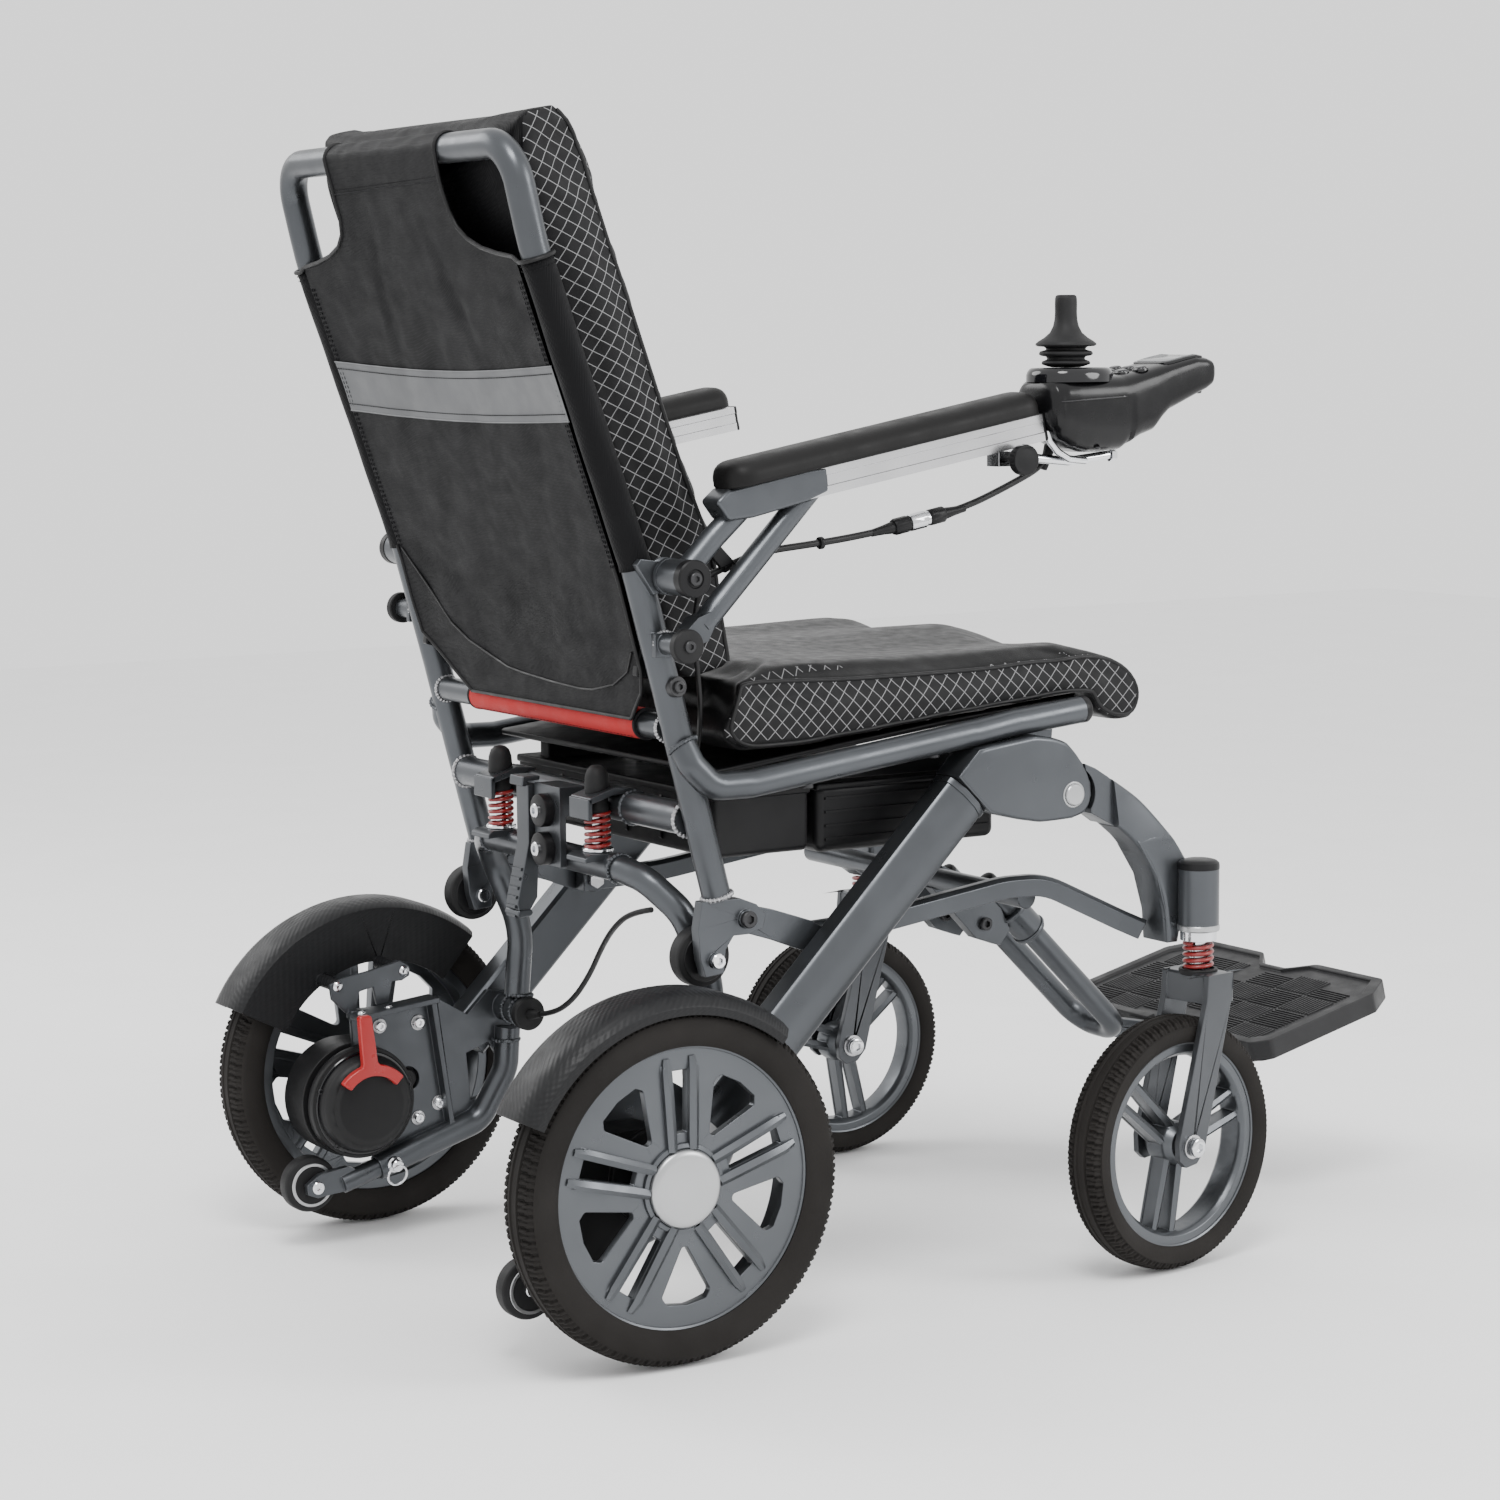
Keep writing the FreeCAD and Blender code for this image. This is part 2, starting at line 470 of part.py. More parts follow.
# Footplate: one board with a raised rim, hinged on the bottom run of the U.
def footplate():
    w, d = PLATE_HALF, 182.0
    y0, z0 = -729.0, 142.0
    P = [(-w + 14, 0), (-w, -16), (-w, -d + 34), (-w + 22, -d), (-42, -d), (-18, -d + 22), (18, -d + 22), (42, -d), (w - 22, -d), (w, -d + 34), (w, -16), (w - 14, 0)]
    vs = [V(a, y0 + b, z0) for a, b in P]
    f = Part.Face(Part.makePolygon(vs + [vs[0]])).extrude(V(0, 0, 20))
    f = fillet(f, 8, lambda e: abs(e.tangentAt(0).z) > 0.99)
    # shallow tray on top
    Q = [(a * 0.93, b * 0.90 - 10) for a, b in P]
    vs = [V(a, y0 + b, z0 + 17) for a, b in Q]
    tray = Part.Face(Part.makePolygon(vs + [vs[0]])).extrude(V(0, 0, 10))
    f = f.cut(tray)
    under = box(-w + 8, w - 8, y0 - d + 30, y0 - 8, z0 - 5, z0 + 10).cut(box(-4, 4, y0 - d, y0, z0 - 6, z0 + 12))
    f = f.cut(under)
    f = rot(f, (0, y0, z0), (1, 0, 0), -PLATE_TILT)
    f = f.cut(box(-10, 10, -745, -700, 120, 175))
    for sg in (-1, 1):
        lug = poly_x([(-716, 144), (-722, 157), (-732, 160), (-745, 160), (-745, 147), (-730, 141), (-720, 141)], *sorted((sg * 10.5, sg * 40)))
        f = f.fuse(lug)
    f = f.cut(cyl((-60, -724, 149), (1, 0, 0), 4.05, 120))
    return f.removeSplitter()


out("footplate", footplate())

# ---------------------------------------------------------------- seat and back frame (body S)
def post(s):
    pts = [(s * (POST_X - 70), 96, 996), (s * POST_X, 96, 996), (s * POST_X, 75.8, 909), (s * POST_X, -12, 658), (s * POST_X, -43, 545), (s * POST_X, -88, 372)]
    return tube(pts, TUBE_R, [58, 400, 500, 500])


posts = both(post(1))
top = bar((-POST_X + 70, 96, 996), (POST_X - 70, 96, 996), TUBE_R)
cross_up = bar((-POST_X + 11, -68, 437), (POST_X - 11, -68, 437), 14.0)
grip = bar((-POST_X + 11, -49, 516), (POST_X - 11, -49, 516), 11.0)


def seat_tube(s):
    x = s * 231.0
    pts = [(s * 219, -53, 504), (s * 227, -58, 486), (x, -76, 467), (x, -112, 466.5), (x, -340, 494), (x, -390, 501), (x, -462, 508)]
    return tube(pts, 12.0, [14, 20, 60, 200, 200])


def seat_lug(s):
    """Lug under the seat tube that turns on the node's inner pin."""
    l = poly_x([(-412, 503), (-416, 462), (-424, 450), (-436, 450), (-444, 462), (-448, 505)], *sorted((s * 197, s * 206)))
    l = fuse(l, box(*sorted((s * 197, s * 226)), -448, -412, 500.5, 506.5))
    l = l.cut(cyl((s * 180, FOLD_P2[0], FOLD_P2[1]), (s, 0, 0), 8.05, 60))
    return l


seat_tubes = both(seat_tube(1))
# stud and pivot pins welded to the posts
studs = []
for s in (-1, 1):
    pv = fuse(cyl((s * 226, ARM_PIVOT[0], ARM_PIVOT[1]), (s, 0, 0), 8.0, 45), cyl((s * 269.5, ARM_PIVOT[0], ARM_PIVOT[1]), (s, 0, 0), 12, 6),
              poly_x([(-44, 655), (-44, 636), (-20, 630), (-4, 655), (-8, 660)], min(s * 226, s * 234), max(s * 226, s * 234)))
    st = fuse(cyl((s * 226, -33, 589), (s, 0, 0), 9.0, 41), poly_x([(-44, 598), (-44, 578), (-22, 578), (-22, 598)], min(s * 226, s * 232), max(s * 226, s * 232)))
    studs += [pv, st]

out("back_frame", fuse(*(posts + [top, cross_up, grip] + seat_tubes + both(seat_lug(1)) + studs)))
out("grip_sleeve", bar((-150, -49, 516), (150, -49, 516), 15.5).cut(bar((-160, -49, 516), (160, -49, 516), 11.0)))


def roller_bracket(s):
    """Plate under the post: roller pin below, ear for the rear link in front."""
    xa, xb = (s * 210, s * 222) if s < 0 else (203, 214)
    pts = [(-70, 368.5), (-108, 368.5), (-124, 362), (-133, 352), (-130, 341), (-116, 337), (-101, 337), (-93, 326), (-91, 306), (-73, 304), (-68, 320), (-66, 345)]
    x0, x1 = sorted((xa, xb))
    p = poly_x(pts, x0, x1)
    if s < 0:
        pin = cyl((x1 - 1, -82, 318), (1, 0, 0), 4.9, 27.0)
        nut = cyl((x0 + 0.5, -82, 318), (-1, 0, 0), 6.5, 3.5)
    else:
        pin = cyl((x1 - 1, -82, 318), (1, 0, 0), 4.9, 25.0)
        nut = cyl((x0 + 0.5, -82, 318), (-1, 0, 0), 6.5, 3.5)
    pe = cyl((s * 211, LINK_E[0], LINK_E[1]), (-s, 0, 0), 4.9, 14.5)
    head = cyl(((x0 + 0.5) if s < 0 else (x1 - 0.5), LINK_E[0] - 3, LINK_E[1]), (s, 0, 0), 8.0, 3.5)
    return fuse(p, pin, nut, pe, head)


brackets = [roller_bracket(-1), roller_bracket(1)]
for c, t in ((-196, "r"), (227, "l")):
    r = revolve_x([(c - 10, 5.0), (c - 10, 20), (c - 8, 25), (c - 5, 26), (c + 5, 26), (c + 8, 25), (c + 10, 20), (c + 10, 5.0)], -82, 318)
    out("post_roller_" + t, r)

# battery pack under the seat, and the control unit behind it
batt = rpad(-177, 177, -404, -214, 392, 452, 8)
rails = [box(sg * 150 - 9, sg * 150 + 9, -390, -224, 452, 468) for sg in (-1, 1)]
out("battery_box", fuse(batt, *rails))
ctrl = rpad(-178, 178, -206, -108, 396, 452, 6)
feet = [box(sg * 140 - 8, sg * 140 + 8, -200, -116, 452, 470) for sg in (-1, 1)]

# seat deck carries the cushion between the seat tubes; it hangs the boxes
deck = poly_x([(-100, 470.3), (-100, 476), (-340, 504), (-480, 517), (-480, 511), (-340, 498)], -195.0, 195.0)

out("control_box", [fuse(ctrl, *feet), deck])

# soft pieces, plain
def seat_cushion():
    pts = [(-112, 492), (-112, 548), (-126, 558), (-300, 556), (-470, 560), (-512, 556), (-534, 540), (-538, 520), (-530, 508), (-494, 511), (-485, 522.5), (-340, 509)]
    b = poly_x(pts, -SEAT_HALF, SEAT_HALF)
    b = fillet(b, 12, lambda e: abs(abs(e.CenterOfMass.x) - SEAT_HALF) < 1 and e.CenterOfMass.z > 540)
    return b


def back_cushion():
    pts = [(55, 1030), (72, 1024), (70, 985), (47, 909), (-36, 668), (-68, 560), (-78, 548), (-122, 560), (-104, 668), (-30, 880), (10, 985), (26, 1018), (40, 1033)]
    b = poly_x(pts, -198, 198)
    b = fillet(b, 14, lambda e: abs(abs(e.CenterOfMass.x) - 198) < 1)
    return b


out("seat_cushion", seat_cushion())
out("back_cushion", back_cushion())
sl = poly_x([(109, 958), (97, 909), (11, 664), (-23, 548), (-36, 536), (-33, 530), (-18, 540), (15, 660), (101, 907), (113, 957)], -200.0, 200.0)
out("back_sling", sl)

# rear shocks between the cross tube and the arch, latch plates and pedal
SHX, SHY = 90.0, -44.0
shocks, caps = [], []
for sg in (-1, 1):
    shocks.append(cyl((sg * SHX, SHY, 400), (0, 0, 1), 11.5, 31))
    top_ = revolve_z([(0, 431.2), (12.5, 431.2), (12.5, 447), (8.5, 452), (8.0, 468), (5, 473), (0, 474)], sg * SHX, SHY)
    caps.append(top_.cut(bar((-200, -68, 437), (200, -68, 437), 14.0)))
out("rear_shocks", shocks + caps)
lat = fuse(box(-46, 1, -37.5, -31, 379, 450), box(-46, 1, -56, -37, 424, 450), cyl((-22, -31.5, 428), (0, 1, 0), 14, 8), cyl((-22, -31.5, 394), (0, 1, 0), 14, 8))
lat = lat.cut(bar((-200, -68, 437), (200, -68, 437), 14.0))
out("rear_fittings", brackets + [lat])
pedal = fuse(poly_x([(-36, 450), (-26, 450), (-26, 396), (-14, 342), (-16, 334), (-26, 334), (-34, 346), (-37, 396)], 3.5, 25.5))
pedal = pedal.cut(box(1, 27, -40, -10, 448, 452))
out("latch_pedal", pedal)

# rear link between the post foot and the front frame's lower bar; its
# front end is the opened pivot of the fold linkage
def link(s):
    x0, x1 = sorted((s * 198.5, s * 207.5)) if s < 0 else (197.5, 202.6)
    pts = [(-98, 352), (-102, 361), (-112, 362.5), (-150, 353), (-188, 340), (-202, 332), (-203, 320), (-192, 313), (-178, 315), (-150, 326), (-112, 338.5), (-101, 342)]
    l = poly_x(pts, x0, x1)
    return l.cut(cyl((s * 190, LINK_E[0], LINK_E[1]), (s, 0, 0), 4.95, 30))


out("rear_links", [link(-1), link(1)])

# ---------------------------------------------------------------- anti-tip arms
AT_Y, AT_Z = 99.0, 61.5
for s, t in ((-1, "r"), (1, "l")):
    x = s * 199
    d = V(0, 108, -32.5)
    d.normalize()
    e = V(x, 36, 71.5)
    arm = Part.makeCylinder(9.25, 108, e - d * 70, d)
    plate = poly_x([(60, 74), (68, 77), (96, 73), (109, 64), (108, 55), (98, 51), (82, 53), (66, 54), (60, 58)], x - 3.5, x + 3.5)
    pin = cyl((x, AT_Y, AT_Z), (s, 0, 0), 4.9, 24)
    out("anti_tip_arm_" + t, fuse(arm, plate, pin))
    w = revolve_x([(s * 206, 5.0), (s * 206, 20), (s * 208, 25), (s * 211, 26), (s * 221, 26), (s * 223, 25), (s * 225, 20), (s * 225, 5.0)], AT_Y, AT_Z)
    out("anti_tip_wheel_" + t, w)

# ---------------------------------------------------------------- armrests
def armrest(s):
    x = s * ARMREST_X
    rail = tube([(x, -74, 704), (x, -160, 719), (x, -392, 760)], 11.0, 200)
    rear = tube([(x, -96, 704), (x, -64, 676), (x, ARM_PIVOT[0] - 4, ARM_PIVOT[1] + 4)], 10.0, 30)
    strut = bar((x, -160, 714), (x, -52, 604), 10.0)
    boss = cyl((x - s * 14, ARM_PIVOT[0], ARM_PIVOT[1]), (s, 0, 0), 15.0, 28.0)
    saddle = poly_x([(-60, 604), (-56, 616), (-44, 612), (-30, 598), (-38, 588), (-54, 592)], min(x - 9, x + 9), max(x - 9, x + 9))
    a = fuse(rail, rear, strut, boss, saddle)
    a = a.cut(cyl((x - s * 60, ARM_PIVOT[0], ARM_PIVOT[1]), (s, 0, 0), 8.05, 120))
    a = a.cut(cyl((x - s * 60, -33, 589), (s, 0, 0), 13.0, 120))
    return a


for s, t in ((-1, "r"), (1, "l")):
    out("armrest_frame_" + t, armrest(s))
    x = s * ARMREST_X
    x = s * (ARMREST_X + 1.5)
    pad = box(x - 26, x + 26, -392, -74, 0, 22)
    pad = fillet(pad, 10, lambda e: e.CenterOfMass.z > 1 or abs(e.tangentAt(0).z) > 0.99)
    pad = pad.copy()
    pad.translate(V(0, 74, 0))
    pad = rot(pad, (0, 0, 0), (1, 0, 0), -10.2)
    pad.translate(V(0, -72, 715.2))
    out("armrest_pad_" + t, pad)

# ---------------------------------------------------------------- controller on the right armrest
CX = -255.0
br = fuse(tube([(CX, -362, 734), (CX, -392, 733), (CX, -426, 729.5), (CX, -470, 733.9)], 4.0, 12), box(CX - 9, CX + 9, -372, -346, 727, 740.2))
out("controller_arm", br)
out("controller_knob", fuse(cyl((CX - 9.3, -359, 733), (-1, 0, 0), 3.0, 14), cyl((CX - 23, -359, 733), (-1, 0, 0), 13.0, 9)))
case_pts = [(-389, 790), (-390, 799), (-468, 799), (-505, 810), (-545, 819), (-566, 812), (-564, 793), (-512, 771), (-504, 755), (-477, 749), (-470, 738), (-432, 738), (-410, 745), (-398, 760), (-396, 772), (-391, 778)]
case = poly_x(case_pts, CX - 32, CX + 32)
case = fillet(case, 5, lambda e: abs(abs(e.CenterOfMass.x - CX) - 32) < 1)
case = fuse(case, cyl((CX, -424, 798), (0, 0, 1), 5.5, 5)).cut(Part.makeSphere(4.0, V(CX, -424, 806)))
btn_pos = [(CX + 18, -491, 808.0), (CX, -491, 808.0), (CX - 18, -491, 808.0), (CX + 9, -477, 804.0), (CX - 9, -477, 804.0)]
holes = [box(bx - 6.4, bx + 6.4, by - 4.9, by + 4.9, 785, 830) for bx, by, bz in btn_pos]
case = case.cut(Part.makeCompound(holes))
out("controller_case", case)
out("joystick_ball", Part.makeSphere(3.9, V(CX, -424, 806)))
out("joystick_boot", revolve_z([(4.05, 811), (6, 811), (12.5, 808.5), (19.5, 813), (20.5, 818), (14, 825), (11, 832), (7.5, 838), (4.05, 838)], CX, -424))
out("joystick", revolve_z([(0, 810.2), (4, 810.2), (4, 850), (12, 856), (14.5, 866), (12, 872), (0, 873)], CX, -424))
for i, (bx, by, bz) in enumerate(btn_pos):
    b = box(bx - 6.1, bx + 6.1, by - 4.6, by + 4.6, 789, bz)
    out("button_%d" % (i + 1), fillet(b, 3.0, lambda e: abs(e.tangentAt(0).z) > 0.99))

# ---------------------------------------------------------------- brake release levers on the motors
my, mz = MOTOR_AX
for s, t in ((-1, "r"), (1, "l")):
    x0, x1 = sorted((s * 169.5, s * 176.8))
    ring = cyl((x0, my, mz), (1, 0, 0), 37.0, x1 - x0).cut(cyl((x0 - 1, my, mz), (1, 0, 0), 29.0, 12))
    ring = ring.common(poly_x([(my + 40, mz + 18), (my + 20, mz + 60), (my - 20, mz + 60), (my - 44, mz + 20), (my, mz + 4)], x0 - 1, x1 + 1))
    handle = poly_x([(my - 8, mz + 32), (my + 12, mz + 32), (my + 20, mz + 84), (my + 4, mz + 87)], x0, x1)
    web = poly_x([(my - 3, mz - 2), (my + 3, mz - 2), (my + 5, mz + 33), (my - 4, mz + 33)], *sorted((s * 174.5, s * 176.8)))
    hubl = cyl((s * 174.5, my, mz), (s, 0, 0), 8.0, 2.3)
    out("brake_lever_" + t, fuse(ring, handle, web, hubl))

# ---------------------------------------------------------------- cables held by the frame
cab = {}
cab["joystick_cable"] = (3.0, [(-239, -419.8, 741.3), (-239, -414, 727), (-239, -376, 710), (-239.5, -328, 692), (-240, -278, 682), (-240, -229, 673), (-240, -179, 667), (-239.5, -119, 662), (-239, -86, 651), (-239, -60, 640)])
cab["motor_cable"] = (2.6, [(150, -104, 209), (118, -108, 214), (84, -112, 232), (50, -112, 262), (14, -104, 292), (-30, -92, 318), (-72, -86, 338), (-112, -84, 346)])
cab["frame_cable"] = (2.2, [(-236, -62, 634), (-222, -67, 618), (-208, -73, 592), (-205, -78, 562), (-203, -82, 534), (-190, -88, 504), (-174, -93, 478), (-156, -98, 458), (-146, -105.6, 440)])


def cord_tube(pts, r):
    """Straight runs joined by the largest tangent arcs the runs allow."""
    rad = []
    for i in range(1, len(pts) - 1):
        a, b, c = V(*pts[i - 1]), V(*pts[i]), V(*pts[i + 1])
        u, w = b - a, c - b
        turn = u.getAngle(w)
        rad.append(0.45 * min(u.Length, w.Length) / tan(turn / 2))
    print("radii", [round(q) for q in rad])
    t = tube(pts, r, rad)
    L = path(pts, rad).Length
    print("  volume ratio %.3f length %.0f" % (t.Volume / (pi * r * r * L), L))
    return t


for n, (r, pts) in cab.items():
    out(n, cord_tube(pts, r))
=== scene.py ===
import bpy
import bmesh
import math
import random
import numpy as np
from mathutils import Vector, Matrix
from math import sin, cos, pi, radians, sqrt


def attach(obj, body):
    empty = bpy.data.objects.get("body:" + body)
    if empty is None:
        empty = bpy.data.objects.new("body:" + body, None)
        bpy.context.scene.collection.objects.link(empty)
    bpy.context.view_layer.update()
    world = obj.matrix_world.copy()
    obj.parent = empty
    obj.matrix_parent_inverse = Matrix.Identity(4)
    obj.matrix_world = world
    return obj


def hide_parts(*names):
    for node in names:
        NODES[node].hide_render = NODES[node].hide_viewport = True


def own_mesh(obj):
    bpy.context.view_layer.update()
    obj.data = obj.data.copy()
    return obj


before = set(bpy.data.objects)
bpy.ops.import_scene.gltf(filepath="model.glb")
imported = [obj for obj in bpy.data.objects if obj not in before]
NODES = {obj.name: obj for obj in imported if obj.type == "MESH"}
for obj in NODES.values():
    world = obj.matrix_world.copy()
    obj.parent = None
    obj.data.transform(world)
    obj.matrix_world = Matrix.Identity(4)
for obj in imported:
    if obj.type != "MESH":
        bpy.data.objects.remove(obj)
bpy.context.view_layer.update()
random.seed(7)
YS = 377.6
coll = bpy.context.scene.collection
scn = bpy.context.scene


def P(x, y, z):
    return Vector((x / 1000.0, (y + YS) / 1000.0, z / 1000.0))


# ------------------------------------------------------------------ camera
cd = bpy.data.cameras.new("camera")
cam = bpy.data.objects.new("camera", cd)
coll.objects.link(cam)
cx, cy, cz = (-0.52474289, -0.851215, -0.0088274), (0.0951205, -0.06893685, 0.99307593), (-0.84592966, 0.52026987, 0.11714212)
cam.matrix_world = Matrix(((cx[0], cy[0], cz[0], -2.7240), (cx[1], cy[1], cz[1], 1.7979), (cx[2], cy[2], cz[2], 0.8405), (0, 0, 0, 1)))
cd.lens, cd.sensor_width = 84.25, 36.0
cd.clip_start, cd.clip_end = 0.05, 60
cd.dof.use_dof = False
scn.camera = cam

# ------------------------------------------------------------------ cords
CORDS = {
    "joystick_cable": ("armrest_r", 6.0, [(-239, -419.8, 741.3), (-239, -414, 727), (-239, -376, 710), (-239.5, -328, 692), (-240, -278, 682), (-240, -229, 673), (-240, -179, 667), (-239.5, -119, 662), (-239, -86, 651), (-239, -60, 640)]),
    "motor_cable": ("rear_frame", 5.2, [(150, -104, 209), (118, -108, 214), (84, -112, 232), (50, -112, 262), (14, -104, 292), (-30, -92, 318), (-72, -86, 338), (-112, -84, 346)]),
    "frame_cable": ("seat_back", 4.4, [(-236, -62, 634), (-222, -67, 618), (-208, -73, 592), (-205, -78, 562), (-203, -82, 534), (-190, -88, 504), (-174, -93, 478), (-156, -98, 458), (-146, -105.6, 440)]),
}


# ------------------------------------------------------------------ materials
class Mat:
    """A principled material built from nodes, with grain in roughness and bump."""

    def __init__(self, name, col, rough, metal=0.0, rvar=0.08, nscale=60, bump=0.05, bdist=0.0006, spec=0.5, coat=0.0, cvar=0.12, bscale=None):
        m = bpy.data.materials.new(name)
        m.use_nodes = True
        self.m, self.nt = m, m.node_tree
        n = self.nt.nodes
        self.p = n["Principled BSDF"]
        self.p.inputs["Base Color"].default_value = (*col, 1)
        self.p.inputs["Roughness"].default_value = rough
        self.p.inputs["Metallic"].default_value = metal
        if "Specular IOR Level" in self.p.inputs:
            self.p.inputs["Specular IOR Level"].default_value = spec
        if coat and "Coat Weight" in self.p.inputs:
            self.p.inputs["Coat Weight"].default_value = coat
            self.p.inputs["Coat Roughness"].default_value = 0.12
        m.diffuse_color = (*col, 1)
        m.roughness, m.metallic = rough, metal
        self.tc = self.node("ShaderNodeTexCoord")
        geo = self.tc.outputs["Object"]
        self.co = geo
        no = self.node("ShaderNodeTexNoise")
        no.inputs["Scale"].default_value = nscale
        no.inputs["Detail"].default_value = 4
        self.link(geo, no.inputs["Vector"])
        mr = self.node("ShaderNodeMapRange")
        mr.inputs["From Min"].default_value, mr.inputs["From Max"].default_value = 0.3, 0.7
        mr.inputs["To Min"].default_value = max(0.02, rough - rvar)
        mr.inputs["To Max"].default_value = min(1.0, rough + rvar)
        self.link(no.outputs["Fac"], mr.inputs["Value"])
        self.link(mr.outputs["Result"], self.p.inputs["Roughness"])
        big = self.node("ShaderNodeTexNoise")
        big.inputs["Scale"].default_value = 7
        big.inputs["Detail"].default_value = 3
        self.link(geo, big.inputs["Vector"])
        self.cr = self.node("ShaderNodeMapRange")
        self.cr.inputs["From Min"].default_value, self.cr.inputs["From Max"].default_value = 0.3, 0.7
        self.cr.inputs["To Min"].default_value, self.cr.inputs["To Max"].default_value = 1 - cvar, 1 + cvar
        self.link(big.outputs["Fac"], self.cr.inputs["Value"])
        self.col = self.node("ShaderNodeVectorMath")
        self.col.operation = "SCALE"
        self.col.inputs[0].default_value = col
        self.link(self.cr.outputs["Result"], self.col.inputs["Scale"])
        self.link(self.col.outputs[0], self.p.inputs["Base Color"])
        fine = self.node("ShaderNodeTexNoise")
        fine.inputs["Scale"].default_value = bscale or nscale * 12
        fine.inputs["Detail"].default_value = 5
        self.link(geo, fine.inputs["Vector"])
        self.bump = self.node("ShaderNodeBump")
        self.bump.inputs["Strength"].default_value = bump
        self.bump.inputs["Distance"].default_value = bdist
        self.link(fine.outputs["Fac"], self.bump.inputs["Height"])
        self.link(self.bump.outputs["Normal"], self.p.inputs["Normal"])
        self.h = fine.outputs["Fac"]

    def node(self, kind):
        return self.nt.nodes.new(kind)

    def link(self, a, b):
        self.nt.links.new(a, b)

    def math(self, op, a, b=None, c=None):
        q = self.node("ShaderNodeMath")
        q.operation = op
        for i, v in enumerate((a, b, c)):
            if v is None:
                continue
            if isinstance(v, (int, float)):
                q.inputs[i].default_value = v
            else:
                self.link(v, q.inputs[i])
        return q.outputs[0]

    def xyz(self):
        s = self.node("ShaderNodeSeparateXYZ")
        self.link(self.co, s.inputs[0])
        return s.outputs

    def uv(self):
        s = self.node("ShaderNodeSeparateXYZ")
        self.link(self.tc.outputs["UV"], s.inputs[0])
        return s.outputs

    def height(self, out, strength, dist):
        """Adds a second bump over the grain."""
        b = self.node("ShaderNodeBump")
        b.inputs["Strength"].default_value = strength
        b.inputs["Distance"].default_value = dist
        self.link(out, b.inputs["Height"])
        self.link(self.bump.outputs["Normal"], b.inputs["Normal"])
        self.link(b.outputs["Normal"], self.p.inputs["Normal"])
        return b

    def mix_col(self, fac, other, base=None):
        mx = self.node("ShaderNodeMix")
        mx.data_type = "RGBA"
        self.link(fac, mx.inputs[0])
        self.link(base or self.col.outputs[0], mx.inputs[6])
        mx.inputs[7].default_value = (*other, 1)
        self.link(mx.outputs[2], self.p.inputs["Base Color"])
        return mx


def weave(mt, pitch, strength=0.5, dist=0.0006, coords=None):
    """Over and under threads at the given pitch in metres."""
    u, v = (coords or mt.xyz())[0:2]
    k = 2 * pi / pitch
    su = mt.math("SINE", mt.math("MULTIPLY", u, k))
    sv = mt.math("SINE", mt.math("MULTIPLY", v, k))
    mt.height(mt.math("MULTIPLY", su, sv), strength, dist)


M = {}
M["frame"] = Mat("frame_metal_satin", (0.076, 0.081, 0.088), 0.33, 0.80, 0.06, 45, 0.08, 0.0005)
M["rim"] = Mat("rim_metal_satin", (0.098, 0.104, 0.112), 0.33, 0.82, 0.06, 45, 0.08, 0.0005)
M["caster"] = Mat("caster_metal_satin", (0.076, 0.080, 0.086), 0.35, 0.75, 0.07, 50, 0.08, 0.0005)
M["silver"] = Mat("silver_satin", (0.42, 0.425, 0.43), 0.34, 0.92, 0.04, 30, 0.01, 0.0002)
M["railsilver"] = Mat("polished_rail", (0.60, 0.60, 0.61), 0.24, 0.95, 0.03, 20, 0.0, 0.0001)
M["weld"] = Mat("weld_metal", (0.36, 0.36, 0.37), 0.38, 0.9, 0.1, 200, 0.5, 0.0005)
M["chrome"] = Mat("bright_steel", (0.72, 0.73, 0.75), 0.16, 1.0, 0.06, 80, 0.03, 0.0002)
M["steel"] = Mat("bolt_steel", (0.50, 0.50, 0.51), 0.30, 0.95, 0.1, 120, 0.08, 0.0003)
M["blackbolt"] = Mat("black_bolt_steel", (0.035, 0.035, 0.037), 0.38, 0.6, 0.1, 120, 0.08, 0.0003)
M["tyre"] = Mat("tyre_rubber_worn", (0.0150, 0.0135, 0.0125), 0.74, 0.0, 0.10, 25, 0.30, 0.0008, spec=0.13, cvar=0.3)
M["rubber"] = Mat("soft_rubber", (0.0085, 0.0085, 0.009), 0.58, 0.0, 0.1, 60, 0.2, 0.0004, spec=0.25)
M["plastic"] = Mat("moulded_plastic", (0.0050, 0.0050, 0.0056), 0.42, 0.0, 0.06, 70, 0.18, 0.0003, spec=0.22, bscale=1800)
M["shell"] = Mat("shell_plastic", (0.0040, 0.0040, 0.0045), 0.24, 0.0, 0.05, 60, 0.05, 0.0002, spec=0.28, bscale=1500)
M["gloss"] = Mat("gloss_plastic", (0.005, 0.005, 0.006), 0.10, 0.0, 0.04, 60, 0.02, 0.0002)
M["motor"] = Mat("motor_coating", (0.0070, 0.0070, 0.0075), 0.46, 0.1, 0.06, 60, 0.18, 0.0004, spec=0.3, bscale=1200)
M["pad"] = Mat("moulded_foam_skin", (0.0055, 0.0053, 0.0053), 0.48, 0.0, 0.07, 50, 0.25, 0.0005, spec=0.18, bscale=900)
M["red"] = Mat("red_paint", (0.36, 0.010, 0.010), 0.32, 0.0, 0.08, 60, 0.08, 0.0003, coat=0.3)
M["springred"] = Mat("spring_red_paint", (0.20, 0.008, 0.008), 0.34, 0.0, 0.08, 60, 0.08, 0.0003, coat=0.3)
M["redfoam"] = Mat("red_foam_sleeve", (0.36, 0.014, 0.014), 0.60, 0.0, 0.08, 60, 0.35, 0.0006, spec=0.2, bscale=700)
M["cable"] = Mat("cable_sheath", (0.0065, 0.0065, 0.0070), 0.42, 0.0, 0.08, 80, 0.1, 0.0002, spec=0.3)
